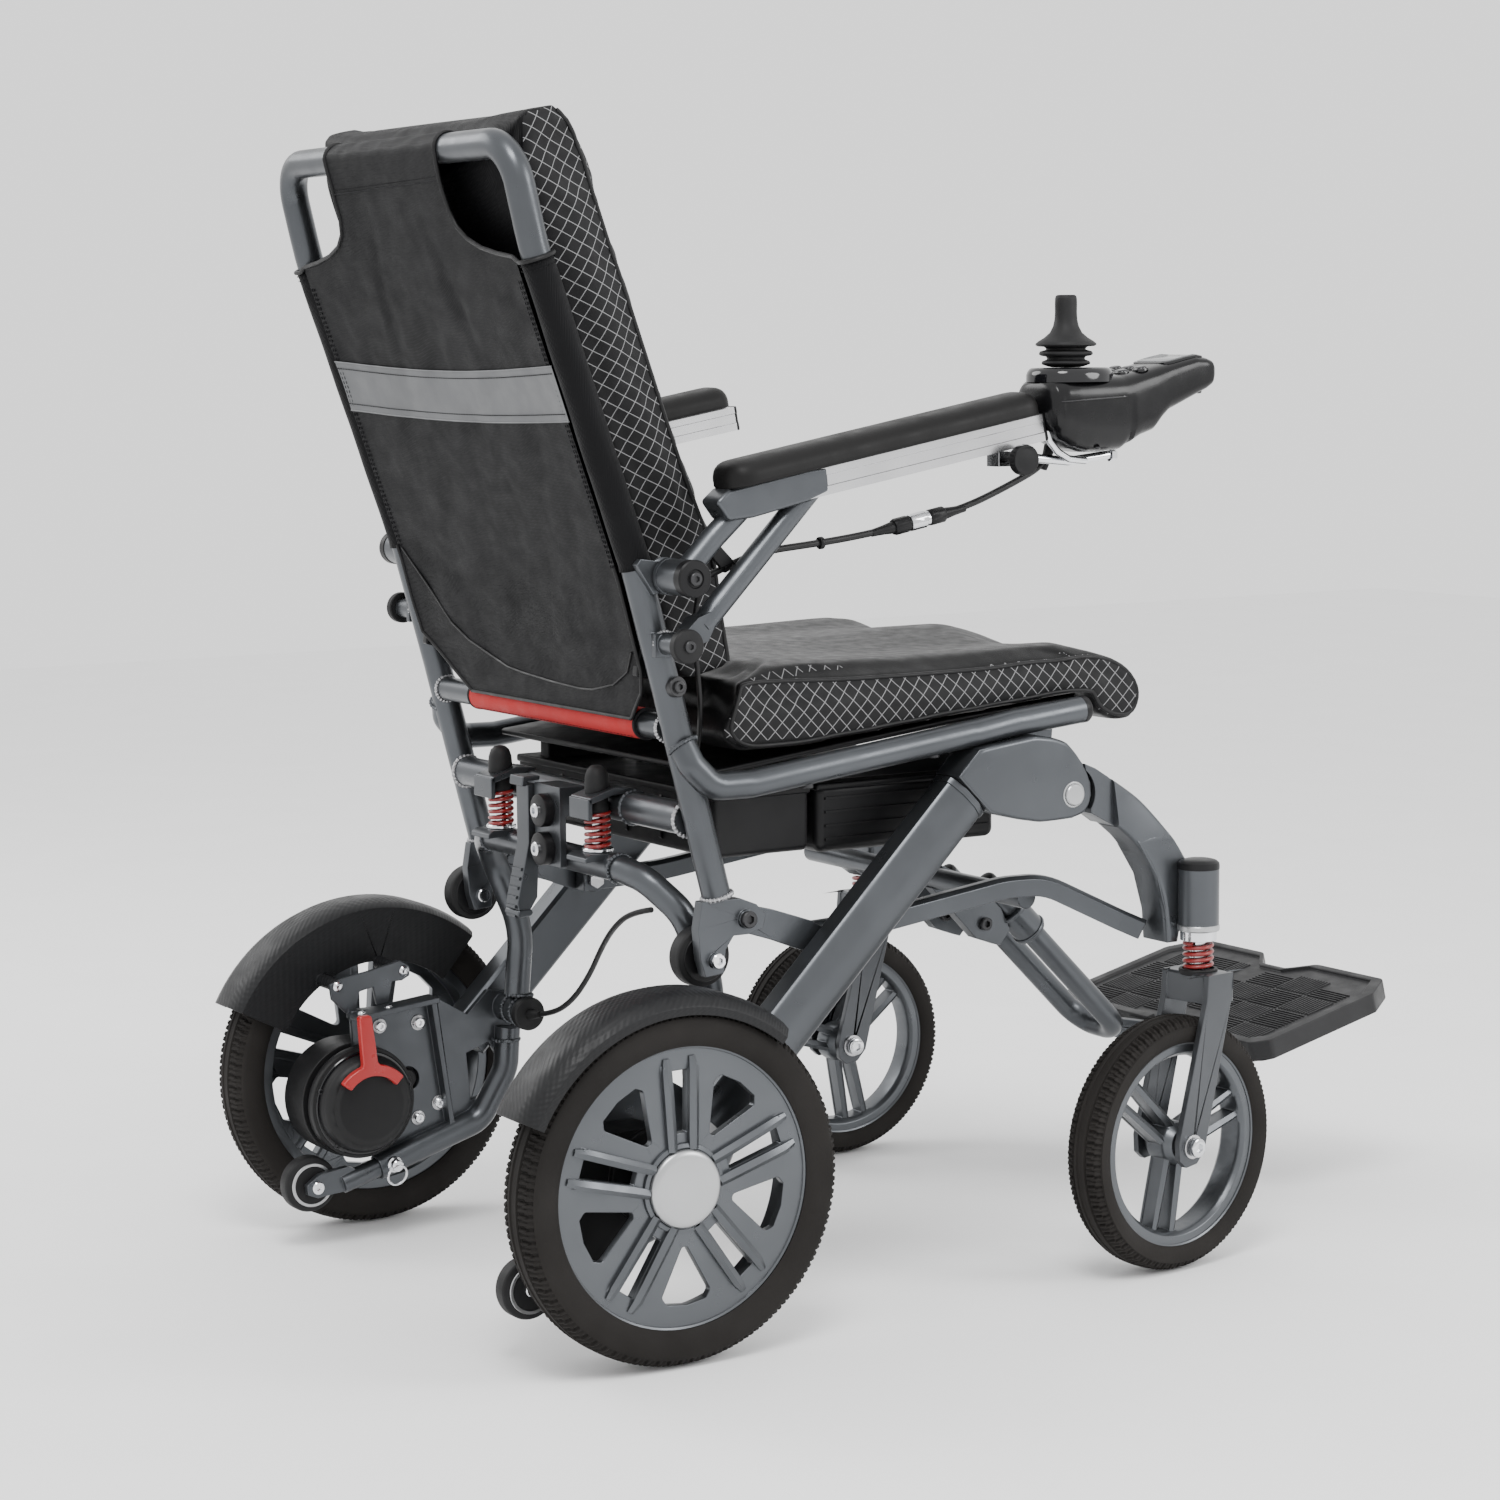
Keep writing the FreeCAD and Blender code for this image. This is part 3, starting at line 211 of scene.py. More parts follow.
M["display"] = Mat("display_glass", (0.16, 0.165, 0.17), 0.12, 0.1, 0.05, 50, 0.03, 0.0002)
M["button"] = Mat("button_gloss", (0.020, 0.020, 0.022), 0.16, 0.1, 0.05, 60, 0.05, 0.0002)
M["band"] = Mat("reflective_band", (0.105, 0.108, 0.112), 0.46, 0.05, 0.07, 60, 0.2, 0.0003, spec=0.25)
M["thread"] = Mat("dark_thread", (0.008, 0.008, 0.009), 0.8, 0.0, 0.1, 90, 0.4, 0.0003, spec=0.15)
M["piping"] = Mat("piping_cord", (0.007, 0.007, 0.0075), 0.45, 0.0, 0.1, 90, 0.4, 0.0003, spec=0.25)
M["sling"] = Mat("nylon_cloth", (0.0040, 0.0040, 0.0046), 0.52, 0.0, 0.07, 60, 0.10, 0.0003, spec=0.10)
weave(M["sling"], 0.0022, 0.35, 0.0004)
M["webbing"] = Mat("webbing_strap", (0.018, 0.018, 0.020), 0.6, 0.0, 0.08, 60, 0.2, 0.0003)
weave(M["webbing"], 0.003, 0.6, 0.0005)
M["fender"] = Mat("fender_shell", (0.009, 0.0092, 0.0100), 0.44, 0.0, 0.07, 50, 0.08, 0.0004, spec=0.22)
x_, y_, z_ = M["fender"].xyz()
k_ = 2 * pi / 0.006
w_ = M["fender"].math("MULTIPLY", M["fender"].math("SINE", M["fender"].math("MULTIPLY", M["fender"].math("ADD", y_, z_), k_)), M["fender"].math("SINE", M["fender"].math("MULTIPLY", M["fender"].math("SUBTRACT", x_, z_), k_)))
M["fender"].height(w_, 0.25, 0.0005)
M["footplate"] = Mat("footplate_plastic", (0.016, 0.016, 0.017), 0.50, 0.05, 0.1, 50, 0.25, 0.0004, spec=0.3, bscale=900)

# cushion top: leather grain with a diamond grid of small punched dots
mt = M["leather"] = Mat("punched_leather", (0.0062, 0.0062, 0.0066), 0.42, 0.0, 0.07, 80, 0.26, 0.0005, spec=0.14, bscale=1300)
x_, y_, z_ = mt.xyz()
kk = pi / 0.0048
a_ = mt.math("ABSOLUTE", mt.math("SINE", mt.math("MULTIPLY", mt.math("ADD", x_, y_), kk)))
b_ = mt.math("ABSOLUTE", mt.math("SINE", mt.math("MULTIPLY", mt.math("SUBTRACT", x_, y_), kk)))
dd = mt.math("GREATER_THAN", mt.math("MULTIPLY", a_, b_), 0.90)
mt.height(mt.math("MULTIPLY", dd, -1.0), 0.7, 0.0012)
mt.mix_col(mt.math("MULTIPLY", dd, 0.8), (0.004, 0.004, 0.004))


def lattice(name, period, line, dots=False):
    """Dark cloth with a pale diamond lattice, in the UV plane (metres)."""
    mt = Mat(name, (0.0070, 0.0070, 0.0076), 0.6, 0.0, 0.08, 80, 0.3, 0.0004, spec=0.2, bscale=1500)
    u, v, _ = mt.uv()
    k = pi / period
    s1 = mt.math("ABSOLUTE", mt.math("SINE", mt.math("MULTIPLY", mt.math("ADD", u, v), k)))
    s2 = mt.math("ABSOLUTE", mt.math("SINE", mt.math("MULTIPLY", mt.math("SUBTRACT", u, v), k)))
    mn = mt.math("MINIMUM", s1, s2)
    ln = mt.math("LESS_THAN", mn, line)
    edge = mt.node("ShaderNodeMapRange")
    edge.interpolation_type = "SMOOTHSTEP"
    edge.inputs["From Min"].default_value, edge.inputs["From Max"].default_value = line * 0.6, line * 1.3
    edge.inputs["To Min"].default_value, edge.inputs["To Max"].default_value = 1, 0
    mt.link(mn, edge.inputs["Value"])
    mt.height(edge.outputs["Result"], 0.6, 0.0012)
    mt.mix_col(mt.math("MULTIPLY", ln, 0.80), (0.26, 0.26, 0.265))
    return mt


M["lattice"] = lattice("lattice_cloth", 0.0145, 0.115)


# ------------------------------------------------------------------ mesh helpers
def finish_obj(name, verts, faces, mat, body, smooth=True, split=None):
    me = bpy.data.meshes.new(name)
    me.from_pydata([tuple(v) for v in verts], [], faces)
    me.validate()
    bm = bmesh.new()
    bm.from_mesh(me)
    bmesh.ops.recalc_face_normals(bm, faces=bm.faces)
    bm.to_mesh(me)
    bm.free()
    o = bpy.data.objects.new(name, me)
    coll.objects.link(o)
    me.materials.append((M[mat] if isinstance(mat, str) else mat).m)
    for p in me.polygons:
        p.use_smooth = smooth
    if split:
        e = o.modifiers.new("split", "EDGE_SPLIT")
        e.split_angle = radians(split)
    if body:
        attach(o, body)
    return o


def bevel(o, w=0.0008, seg=3, ang=32, wn=True):
    b = o.modifiers.new("bevel", "BEVEL")
    b.width, b.segments, b.limit_method, b.angle_limit = w, seg, "ANGLE", radians(ang)
    b.use_clamp_overlap = False
    if wn:
        q = o.modifiers.new("wn", "WEIGHTED_NORMAL")
        q.keep_sharp = True
    return o


def arc_path(pts, radii=None, step=4.0, amax=radians(7)):
    """Polyline with each inner corner rounded by a tangent arc."""
    p = [np.array(q, float) for q in pts]
    out = [p[0]]
    n = len(p)
    for i in range(1, n - 1):
        r = radii if isinstance(radii, (int, float)) else (radii[i - 1] if radii else None)
        u, w = p[i] - p[i - 1], p[i + 1] - p[i]
        lu, lw = np.linalg.norm(u), np.linalg.norm(w)
        u, w = u / lu, w / lw
        t = math.acos(max(-1, min(1, float(u @ w))))
        if t < 1e-3:
            out.append(p[i])
            continue
        rmax = 0.45 * min(lu, lw) / math.tan(t / 2)
        r = rmax if r is None else min(r, rmax)
        d = r * math.tan(t / 2)
        a, c = p[i] - u * d, p[i] + w * d
        nrm = (w - u * float(u @ w))
        nrm /= np.linalg.norm(nrm)
        cen = a + nrm * r
        k = max(3, int(t / amax) + 1)
        for j in range(k + 1):
            th = t * j / k
            out.append(cen - nrm * r * cos(th) + u * r * sin(th))
    out.append(p[-1])
    return out


def frames(pts, closed=False):
    """Parallel-transport frames along a path."""
    p = np.array(pts, float)
    t = np.gradient(p, axis=0)
    if closed:
        t = np.roll(p, -1, 0) - np.roll(p, 1, 0)
    t /= np.linalg.norm(t, axis=1)[:, None]
    a = np.array([0, 0, 1.0]) if abs(t[0][2]) < 0.9 else np.array([1.0, 0, 0])
    n = np.cross(t[0], a)
    n /= np.linalg.norm(n)
    ns = [n]
    for i in range(1, len(p)):
        n = n - t[i] * (n @ t[i])
        n /= np.linalg.norm(n)
        ns.append(n)
    return p, t, np.array(ns), np.cross(t, np.array(ns))


def sweep_data(pts, r, n=20, closed=False, profile=None):
    """profile: list of (a, b) offsets in mm; else a round section of radius r (number or list)."""
    p, t, u, v = frames(pts, closed)
    m = len(p)
    verts, faces = [], []
    k = n if profile is None else len(profile)
    for i in range(m):
        ri = r[i] if isinstance(r, (list, tuple, np.ndarray)) else r
        for j in range(k):
            if profile is None:
                a, b = ri * cos(2 * pi * j / k), ri * sin(2 * pi * j / k)
            else:
                a, b = profile[j]
            q = p[i] + u[i] * a + v[i] * b
            verts.append(P(*q))
    for i in range(m if closed else m - 1):
        for j in range(k):
            a, b = i * k + j, i * k + (j + 1) % k
            c, d = ((i + 1) % m) * k + (j + 1) % k, ((i + 1) % m) * k + j
            faces.append((a, b, c, d))
    if not closed:
        faces.append(tuple(range(k - 1, -1, -1)))
        faces.append(tuple((m - 1) * k + j for j in range(k)))
    return verts, faces


def sweep(name, pts, r, mat, body, n=20, closed=False, profile=None, split=40):
    v, f = sweep_data(pts, r, n, closed, profile)
    return finish_obj(name, v, f, mat, body, True, split)


def basis(axis):
    z = np.array(axis, float)
    z /= np.linalg.norm(z)
    a = np.array([0, 0, 1.0]) if abs(z[2]) < 0.9 else np.array([1.0, 0, 0])
    x = np.cross(a, z)
    x /= np.linalg.norm(x)
    return x, np.cross(z, x), z


def lathe_data(prof, c, axis, n=32, closed=False, rfun=None, phase=0.0):
    """prof: list of (r, h) along axis from c; rfun(i, angle, r) can change the radius."""
    X, Y, Z = basis(axis)
    c = np.array(c, float)
    verts, faces, rings = [], [], []
    for i, (r, h) in enumerate(prof):
        if r < 1e-6:
            rings.append([len(verts)])
            verts.append(P(*(c + Z * h)))
            continue
        ring = []
        for j in range(n):
            th = 2 * pi * j / n + phase
            rr = rfun(i, th, r) if rfun else r
            ring.append(len(verts))
            verts.append(P(*(c + X * rr * cos(th) + Y * rr * sin(th) + Z * h)))
        rings.append(ring)
    m = len(rings)
    for i in range(m if closed else m - 1):
        A, B = rings[i], rings[(i + 1) % m]
        if len(A) == 1 and len(B) == 1:
            continue
        for j in range(n):
            if len(A) == 1:
                faces.append((A[0], B[(j + 1) % n], B[j]))
            elif len(B) == 1:
                faces.append((A[j], A[(j + 1) % n], B[0]))
            else:
                faces.append((A[j], A[(j + 1) % n], B[(j + 1) % n], B[j]))
    return verts, faces


def lathe(name, prof, c, axis, mat, body, n=40, closed=False, rfun=None, split=35, phase=0.0):
    v, f = lathe_data(prof, c, axis, n, closed, rfun, phase)
    return finish_obj(name, v, f, mat, body, True, split)


def smooth_loop(pts, per=6):
    """Closed Catmull-Rom curve through the points."""
    p = [np.array(q, float) for q in pts]
    n, out = len(p), []
    for i in range(n):
        a, b, c, d = p[i - 1], p[i], p[(i + 1) % n], p[(i + 2) % n]
        for j in range(per):
            t = j / per
            out.append(0.5 * ((2 * b) + (c - a) * t + (2 * a - 5 * b + 4 * c - d) * t * t + (3 * b - a - 3 * c + d) * t ** 3))
    return out


def offset_loop(pts, d):
    """Moves each point of a closed 2-D loop outward by d."""
    p = np.array(pts, float)
    area = 0.5 * np.sum(p[:, 0] * np.roll(p[:, 1], -1) - np.roll(p[:, 0], -1) * p[:, 1])
    t = np.roll(p, -1, 0) - np.roll(p, 1, 0)
    t /= np.linalg.norm(t, axis=1)[:, None]
    nrm = np.stack([t[:, 1], -t[:, 0]], 1) * (1 if area > 0 else -1)
    return p + nrm * d


def rounded_plate(name, pts, x0, x1, mat, body, r, k=5):
    """Plate from a closed outline, its two rims rounded over by inset loops."""
    lp = np.array(pts, float)
    seg = np.linalg.norm(np.roll(lp, -1, 0) - lp, axis=1)
    acc = np.concatenate([[0], np.cumsum(seg)])
    n = max(40, int(acc[-1] / 4.0))
    cl = np.vstack([lp, lp[:1]])
    t = np.linspace(0, acc[-1], n, endpoint=False)
    lp = np.stack([np.interp(t, acc, cl[:, 0]), np.interp(t, acc, cl[:, 1])], 1)
    lp = np.roll(lp, 1, 0) * 0.25 + lp * 0.5 + np.roll(lp, -1, 0) * 0.25
    lv = [(x0 + r * (1 - cos(pi / 2 * i / k)), r * (1 - sin(pi / 2 * i / k))) for i in range(k + 1)]
    lv += [(x1 - r * (1 - cos(pi / 2 * (k - i) / k)), r * (1 - sin(pi / 2 * (k - i) / k))) for i in range(k + 1)]
    v, f = [], []
    for x, ins in lv:
        q = offset_loop(lp, -ins)
        v += [P(x, y, z) for y, z in q]
    m = len(lv)
    for i in range(m - 1):
        for j in range(n):
            f.append((i * n + j, i * n + (j + 1) % n, (i + 1) * n + (j + 1) % n, (i + 1) * n + j))
    f.append(tuple(range(n - 1, -1, -1)))
    f.append(tuple((m - 1) * n + j for j in range(n)))
    o = finish_obj(name, v, f, mat, body, True, 35)
    bm = bmesh.new()
    bm.from_mesh(o.data)
    bmesh.ops.recalc_face_normals(bm, faces=bm.faces)
    bm.to_mesh(o.data)
    bm.free()
    return o


def plate_data(pts, x0, x1):
    n = len(pts)
    verts = [P(x0, y, z) for y, z in pts] + [P(x1, y, z) for y, z in pts]
    faces = [tuple(range(n)), tuple(range(2 * n - 1, n - 1, -1))]
    for i in range(n):
        j = (i + 1) % n
        faces.append((i, n + i, n + j, j))
    return verts, faces


def plate(name, pts, x0, x1, mat, body, bev=0.0010, seg=3, ang=32):
    v, f = plate_data(pts, x0, x1)
    o = finish_obj(name, v, f, mat, body, True)
    bevel(o, bev, seg, ang)
    return o


class Batch:
    """Many small parts of one material on one body, joined in one mesh."""

    all = {}

    def __init__(self, body, mat):
        self.v, self.f, self.body, self.mat = [], [], body, mat

    @classmethod
    def get(cls, body, mat):
        k = (body, mat)
        if k not in cls.all:
            cls.all[k] = cls(body, mat)
        return cls.all[k]

    def add(self, vf):
        v, f = vf
        b = len(self.v)
        self.v += list(v)
        self.f += [tuple(i + b for i in q) for q in f]


def bolt(body, mat, c, axis, r=4.0, h=3.0, kind="socket"):
    """Socket, dome or hex head standing on point c along axis."""
    def hexr(i, th, rr):
        if kind == "socket" and i >= 4 and rr > 0:
            a = ((math.degrees(th) + 30) % 60) - 30
            return rr / cos(radians(a)) * 0.9
        if kind == "hex" and i < 3:
            a = ((math.degrees(th) + 30) % 60) - 30
            return rr / cos(radians(a)) * 0.93
        return rr
    if kind == "socket":
        prof = [(0, -0.8), (r, -0.8), (r, h * 0.8), (r * 0.86, h), (r * 0.52, h), (r * 0.50, h * 0.35), (0, h * 0.3)]
    elif kind == "hex":
        prof = [(r, -0.8), (r, h * 0.85), (r * 0.93, h), (r * 0.7, h), (0, h)]
    else:
        prof = [(0, -0.8), (r, -0.8), (r * 0.96, h * 0.35), (r * 0.75, h * 0.75), (r * 0.45, h * 0.95), (0, h)]
    Batch.get(body, mat).add(lathe_data(prof, c, axis, 24, False, hexr))


def bead(body, mat, c, axis, R, r=1.8, arc=(0, 360)):
    """Rippled weld bead round a tube."""
    X, Y, Z = basis(axis)
    c = np.array(c, float)
    n, k = 72, 8
    full = arc[1] - arc[0] >= 359
    verts, faces = [], []
    for i in range(n):
        th = radians(arc[0] + (arc[1] - arc[0]) * i / (n if full else n - 1))
        rr = r * (1 + 0.22 * sin(i * 2 * pi / 3.0))
        cc = c + (X * cos(th) + Y * sin(th)) * R
        for j in range(k):
            ph = 2 * pi * j / k
            q = cc + (X * cos(th) + Y * sin(th)) * rr * cos(ph) + Z * rr * sin(ph)
            verts.append(P(*q))
    for i in range(n if full else n - 1):
        for j in range(k):
            faces.append((i * k + j, i * k + (j + 1) % k, ((i + 1) % n) * k + (j + 1) % k, ((i + 1) % n) * k + j))
    Batch.get(body, mat).add((verts, faces))


def helix(c, axis, R, turns, length, per=28, flat=0.75):
    X, Y, Z = basis(axis)
    c = np.array(c, float)
    N = int(turns * per)
    out = []
    for i in range(N + 1):
        t = i / per
        if t < flat:
            h = 0.0 + (t / flat) ** 2 * 0.5 * flat
        elif t > turns - flat:
            q = (turns - t) / flat
            h = turns - flat - (q ** 2) * 0.5 * flat
        else:
            h = 0.5 * flat + (t - flat) * (turns - 1.5 * flat - 0.5 * flat) / (turns - 2 * flat)
        h = h / (turns - flat) * length
        out.append(c + X * R * cos(2 * pi * t) + Y * R * sin(2 * pi * t) + Z * h)
    return out


def cad(node, mat, bev=0.0006, ang=35, smooth=True):
    """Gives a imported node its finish, with softened edges."""
    o = NODES[node]
    o.data.materials.clear()
    o.data.materials.append(M[mat].m)
    for p in o.data.polygons:
        p.use_smooth = True
        p.material_index = 0
    w = o.modifiers.new("weld", "WELD")
    w.merge_threshold = 0.00002
    if bev:
        bevel(o, bev, 2, ang)
    else:
        e = o.modifiers.new("split", "EDGE_SPLIT")
        e.split_angle = radians(ang)
    return o


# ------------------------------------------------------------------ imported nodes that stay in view
for n in ("side_frames", "motor_brackets", "rear_arch", "front_frame", "footrest_tube", "back_frame", "rear_links"):
    cad(n, "frame", 0.0008)
for s in "rl":
    cad("rear_rim_" + s, "rim", 0.0010)
    cad("front_rim_" + s, "rim", 0.0009)
    cad("caster_fork_" + s, "caster", 0.0009)
    cad("caster_stem_" + s, "chrome", 0.0004)
    cad("anti_tip_arm_" + s, "frame", 0.0006)
    cad("anti_tip_wheel_" + s, "rubber", 0.0006)
    cad("post_roller_" + s, "rubber", 0.0006)
    cad("armrest_frame_" + s, "frame", 0.0006)
    cad("brake_lever_" + s, "red", 0.0007)
cad("motor_housings", "motor", 0.0009)
cad("fenders", "fender", 0.0006)
cad("footrest_knob", "plastic", 0.0006)
cad("footplate", "footplate", 0.0012)
cad("rear_fittings", "frame", 0.0007)
cad("battery_box", "plastic", 0.0025)
cad("control_box", "plastic", 0.0020)
cad("latch_pedal", "frame", 0.0008)
cad("controller_arm", "chrome", 0.0004)
cad("controller_knob", "plastic", 0.0008)
cad("joystick_ball", "gloss", 0)

# ------------------------------------------------------------------ tyres
def tyre(name, node, body, xc, yc, zc, R, ri, hw, nseg, rot8=0.0):
    prof = []
    K = 30
    H = R - ri
    def rad(f):
        xs, ys = [0, 0.45, 0.8, 0.97], [R, R - 0.6, R - 3.5, R - 9]
        return float(np.interp(f, xs, ys))
    for i in range(K + 1):
        f = i / K * 0.97
        prof.append((f * hw, rad(f)))
    side = [(0.995, ri + 0.62 * H), (1.0, ri + 0.45 * H), (0.985, ri + 0.30 * H), (0.93, ri + 0.14 * H), (0.86, ri + 0.04 * H), (0.80, ri - 0.5)]
    zr = [(f * hw, r) for f, r in side]
    half = prof + zr
    loop = [(-w, r) for w, r in reversed(half[1:])] + half
    verts, faces = [], []
    m = len(loop)
    pitch = 360.0 / nseg
    steps = nseg * 8
    for i in range(steps):
        th = 2 * pi * i / steps
        ph = (i % 8) / 8.0
        for w, r in loop:
            f = abs(w) / hw
            d = 0.0
            sh = 0.5 if w > 0 else 0.0
            q = (ph + sh + f * 0.35) % 1.0
            if 0.40 < f < 0.93 and r > ri + 0.5 * H:
                if q < 0.13 or q > 0.87:
                    d = 2.8
                elif 0.40 < q < 0.60:
                    d = 1.5
            if 0.30 < f < 0.40 and r > R - 4:
                d = 1.9
            if f < 0.13 and r > R - 4:
                d = 1.2
            rr = r - d
            verts.append(Vector((w, rr * cos(th), rr * sin(th))))
    for i in range(steps):
        a, b = i * m, ((i + 1) % steps) * m
        for j in range(m - 1):
            faces.append((a + j, a + j + 1, b + j + 1, b + j))
    Rz = Matrix.Rotation(radians(rot8), 3, "Z")
    vs = []
    for v in verts:
        q = Vector((xc, yc, zc)) + v
        if rot8:
            c0 = Vector((-272, -561, 0))
            q = c0 + Rz @ (q - c0)
        vs.append(P(*q))
    o = finish_obj(name, vs, faces, "tyre", body, True, 32)
    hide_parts(node)
    return o


for s, t in ((-1, "r"), (1, "l")):
    tyre("drive_tyre_" + t, "rear_tyre_" + t, "rear_wheel_" + t, s * 288, 0, 150, 150, 118, 24, 84)
    tyre("caster_tyre_" + t, "front_tyre_" + t, "front_wheel_" + t, s * 271.5, -525, 115.5, 115.5, 93, 21, 72, 8.0 if t == "r" else 0.0)

# ------------------------------------------------------------------ caster springs and caps
for s, t in ((-1, "r"), (1, "l")):
    x, y = s * 272, -561
    N0 = helix((x, y, 271.2), (0, 0, 1), 12.2, 4.6, 22.0, 28)
    v, f = sweep_data(N0, 1.9, 12)
    o = finish_obj("caster_coil_" + t, v, f, "springred", "caster_" + t, True, 40)
    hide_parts("caster_spring_" + t)
    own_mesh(o)
    lathe("caster_cap_" + t, [(0, 370), (12, 369.6), (16, 368.5), (18.4, 366.5), (18.9, 364), (18.9, 361), (18.2, 360.4)], (x, y, 0), (0, 0, 1), "plastic", "front_frame", 40)
    lathe("caster_ring_" + t, [(9, 304.6), (18.3, 304.6), (19.2, 305.6), (19.2, 309.4), (18.4, 310.4)], (x, y, 0), (0, 0, 1), "silver", "front_frame", 40)
    lathe("caster_washer_" + t, [(14.7, 265.0), (17.0, 265.0), (17.6, 265.8), (17.6, 269.4), (17.0, 270.2), (14.7, 270.2)], (x, y, 0), (0, 0, 1), "rubber", "fork_" + t, 40, True)

# ------------------------------------------------------------------ rear springs with rubber caps
for s, t in ((-1, "r"), (1, "l")):
    x, y = s * 90, -44
    N0 = helix((x, y, 402.0), (0, 0, 1), 10.2, 6.6, 32.0, 26)
    v, f = sweep_data(N0, 1.7, 10)
    o = finish_obj("rear_coil_" + t, v, f, "springred", "seat_back", True, 40)
    if t == "r":
        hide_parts("rear_shocks")
    cap = lathe("rear_cap_" + t, [(0, 431.5), (9.4, 431.5), (10.4, 433), (10.8, 438), (9.6, 441), (9.4, 446), (10.8, 449), (11.0, 457), (10.4, 464), (8.4, 470), (4.8, 473.2), (0, 474)], (x, y, 0), (0, 0, 1), "rubber", "seat_back", 40)
    lathe("rear_seat_" + t, [(0, 398.5), (13, 398.5), (13.6, 399.2), (13.6, 401.0), (12.8, 401.8), (0, 401.8)], (x, y, 0), (0, 0, 1), "chrome", "seat_back", 36)
    lathe("rear_rod_" + t, [(0, 401), (4.6, 401), (4.6, 433), (0, 433)], (x, y, 0), (0, 0, 1), "chrome", "seat_back", 24)

# ------------------------------------------------------------------ soft seat and back
def grid_prism(name, outline, xw, nx, shape=None):
    """Closed prism between -xw and xw with a round-ended outline (y, z)."""
    n = len(outline)
    verts, faces = [], []
    xs = [xw * (2 * i / nx - 1) for i in range(nx + 1)]
    for x in xs:
        for y, z in outline:
            if shape:
                y, z = shape(x, y, z)
            verts.append(P(x, y, z))
    for i in range(nx):
        for j in range(n):
            k = (j + 1) % n
            faces.append((i * n + j, i * n + k, (i + 1) * n + k, (i + 1) * n + j))
    faces.append(tuple(range(n - 1, -1, -1)))
    faces.append(tuple(nx * n + j for j in range(n)))
    me = bpy.data.meshes.new(name)
    me.from_pydata([tuple(v) for v in verts], [], faces)
    bm = bmesh.new()
    bm.from_mesh(me)
    bmesh.ops.triangulate(bm, faces=[q for q in bm.faces if len(q.verts) > 4])
    bmesh.ops.recalc_face_normals(bm, faces=bm.faces)
    bm.to_mesh(me)
    bm.free()
    o = bpy.data.objects.new(name, me)
    coll.objects.link(o)
    return o


def apply_mods(o):
    bpy.context.view_layer.update()
    dg = bpy.context.evaluated_depsgraph_get()
    me = bpy.data.meshes.new_from_object(o.evaluated_get(dg), depsgraph=dg)
    old = o.data
    o.modifiers.clear()
    o.data = me
    bpy.data.meshes.remove(old)
    return o


def inflate(o, voxel, pressure, cap, pins=None, frames_n=20):
    """Stuffs the cover: remesh, run pressure cloth, and keep each point within cap of its start."""
    r = o.modifiers.new("remesh", "REMESH")
    r.mode, r.voxel_size, r.adaptivity = "VOXEL", voxel, 0.0
    apply_mods(o)
    s = o.modifiers.new("smooth", "SMOOTH")
    s.factor, s.iterations = 0.5, 3
    apply_mods(o)
    rest = np.array([v.co for v in o.data.vertices])
    if pins is not None:
        vg = o.vertex_groups.new(name="pin")
        for i, v in enumerate(o.data.vertices):
            w = pins(v.co)
            if w > 0:
                vg.add([i], w, "REPLACE")
    c = o.modifiers.new("cloth", "CLOTH")
    st = c.settings
    st.quality = 5
    st.mass = 0.3
    st.tension_stiffness = st.compression_stiffness = 40
    st.shear_stiffness = 12
    st.bending_stiffness = 3
    st.use_pressure = True
    st.uniform_pressure_force = pressure
    st.effector_weights.gravity = 0
    if pins is not None:
        st.vertex_group_mass = "pin"
        st.pin_stiffness = 1.0
    c.collision_settings.use_collision = False
    scn.frame_start, scn.frame_end = 1, frames_n
    for fno in range(1, frames_n + 1):
        scn.frame_set(fno)
    apply_mods(o)
    scn.frame_set(1)
    co = np.array([v.co for v in o.data.vertices])
    if len(co) == len(rest):
        d = co - rest
        L = np.linalg.norm(d, axis=1)
        f = np.where(L > cap, cap / np.maximum(L, 1e-9), 1.0)
        co = rest + d * f[:, None]
        o.data.vertices.foreach_set("co", co.astype(np.float32).ravel())
        o.data.update()
    return o


def subdiv(o, lv=1):
    m = o.modifiers.new("sub", "SUBSURF")
    m.levels = m.render_levels = lv
    apply_mods(o)


SEAT = [(-112, 492), (-112, 548), (-126, 558), (-300, 556), (-470, 560), (-505, 556), (-528, 544), (-538, 524), (-536, 506), (-527, 495), (-508, 494), (-488, 503), (-480, 517), (-470, 520.5), (-340, 509)]


def dense(loop, step):
    out = []
    n = len(loop)
    for i in range(n):
        a, b = np.array(loop[i], float), np.array(loop[(i + 1) % n], float)
        k = max(1, int(np.linalg.norm(b - a) / step))
        for j in range(k):
            out.append(tuple(a + (b - a) * j / k))
    return out


def seat_shape(x, y, z):
    """Thigh dips and a raised centre towards the front edge."""
    if z > 530:
        fr = max(0.0, min(1.0, (-y - 180) / 300.0))
        t = abs(x) / 222.0
        dip = 7.0 * math.exp(-((t - 0.52) / 0.22) ** 2) * fr
        side = 5.0 * math.exp(-((t - 1.0) / 0.16) ** 2)
        hump = 3.5 * math.exp(-(t / 0.16) ** 2) * fr
        z = z - dip + hump - 1.5 - side * 0.6
        if y < -500:
            y -= 3.0 * math.exp(-(t / 0.18) ** 2)
    return y, z


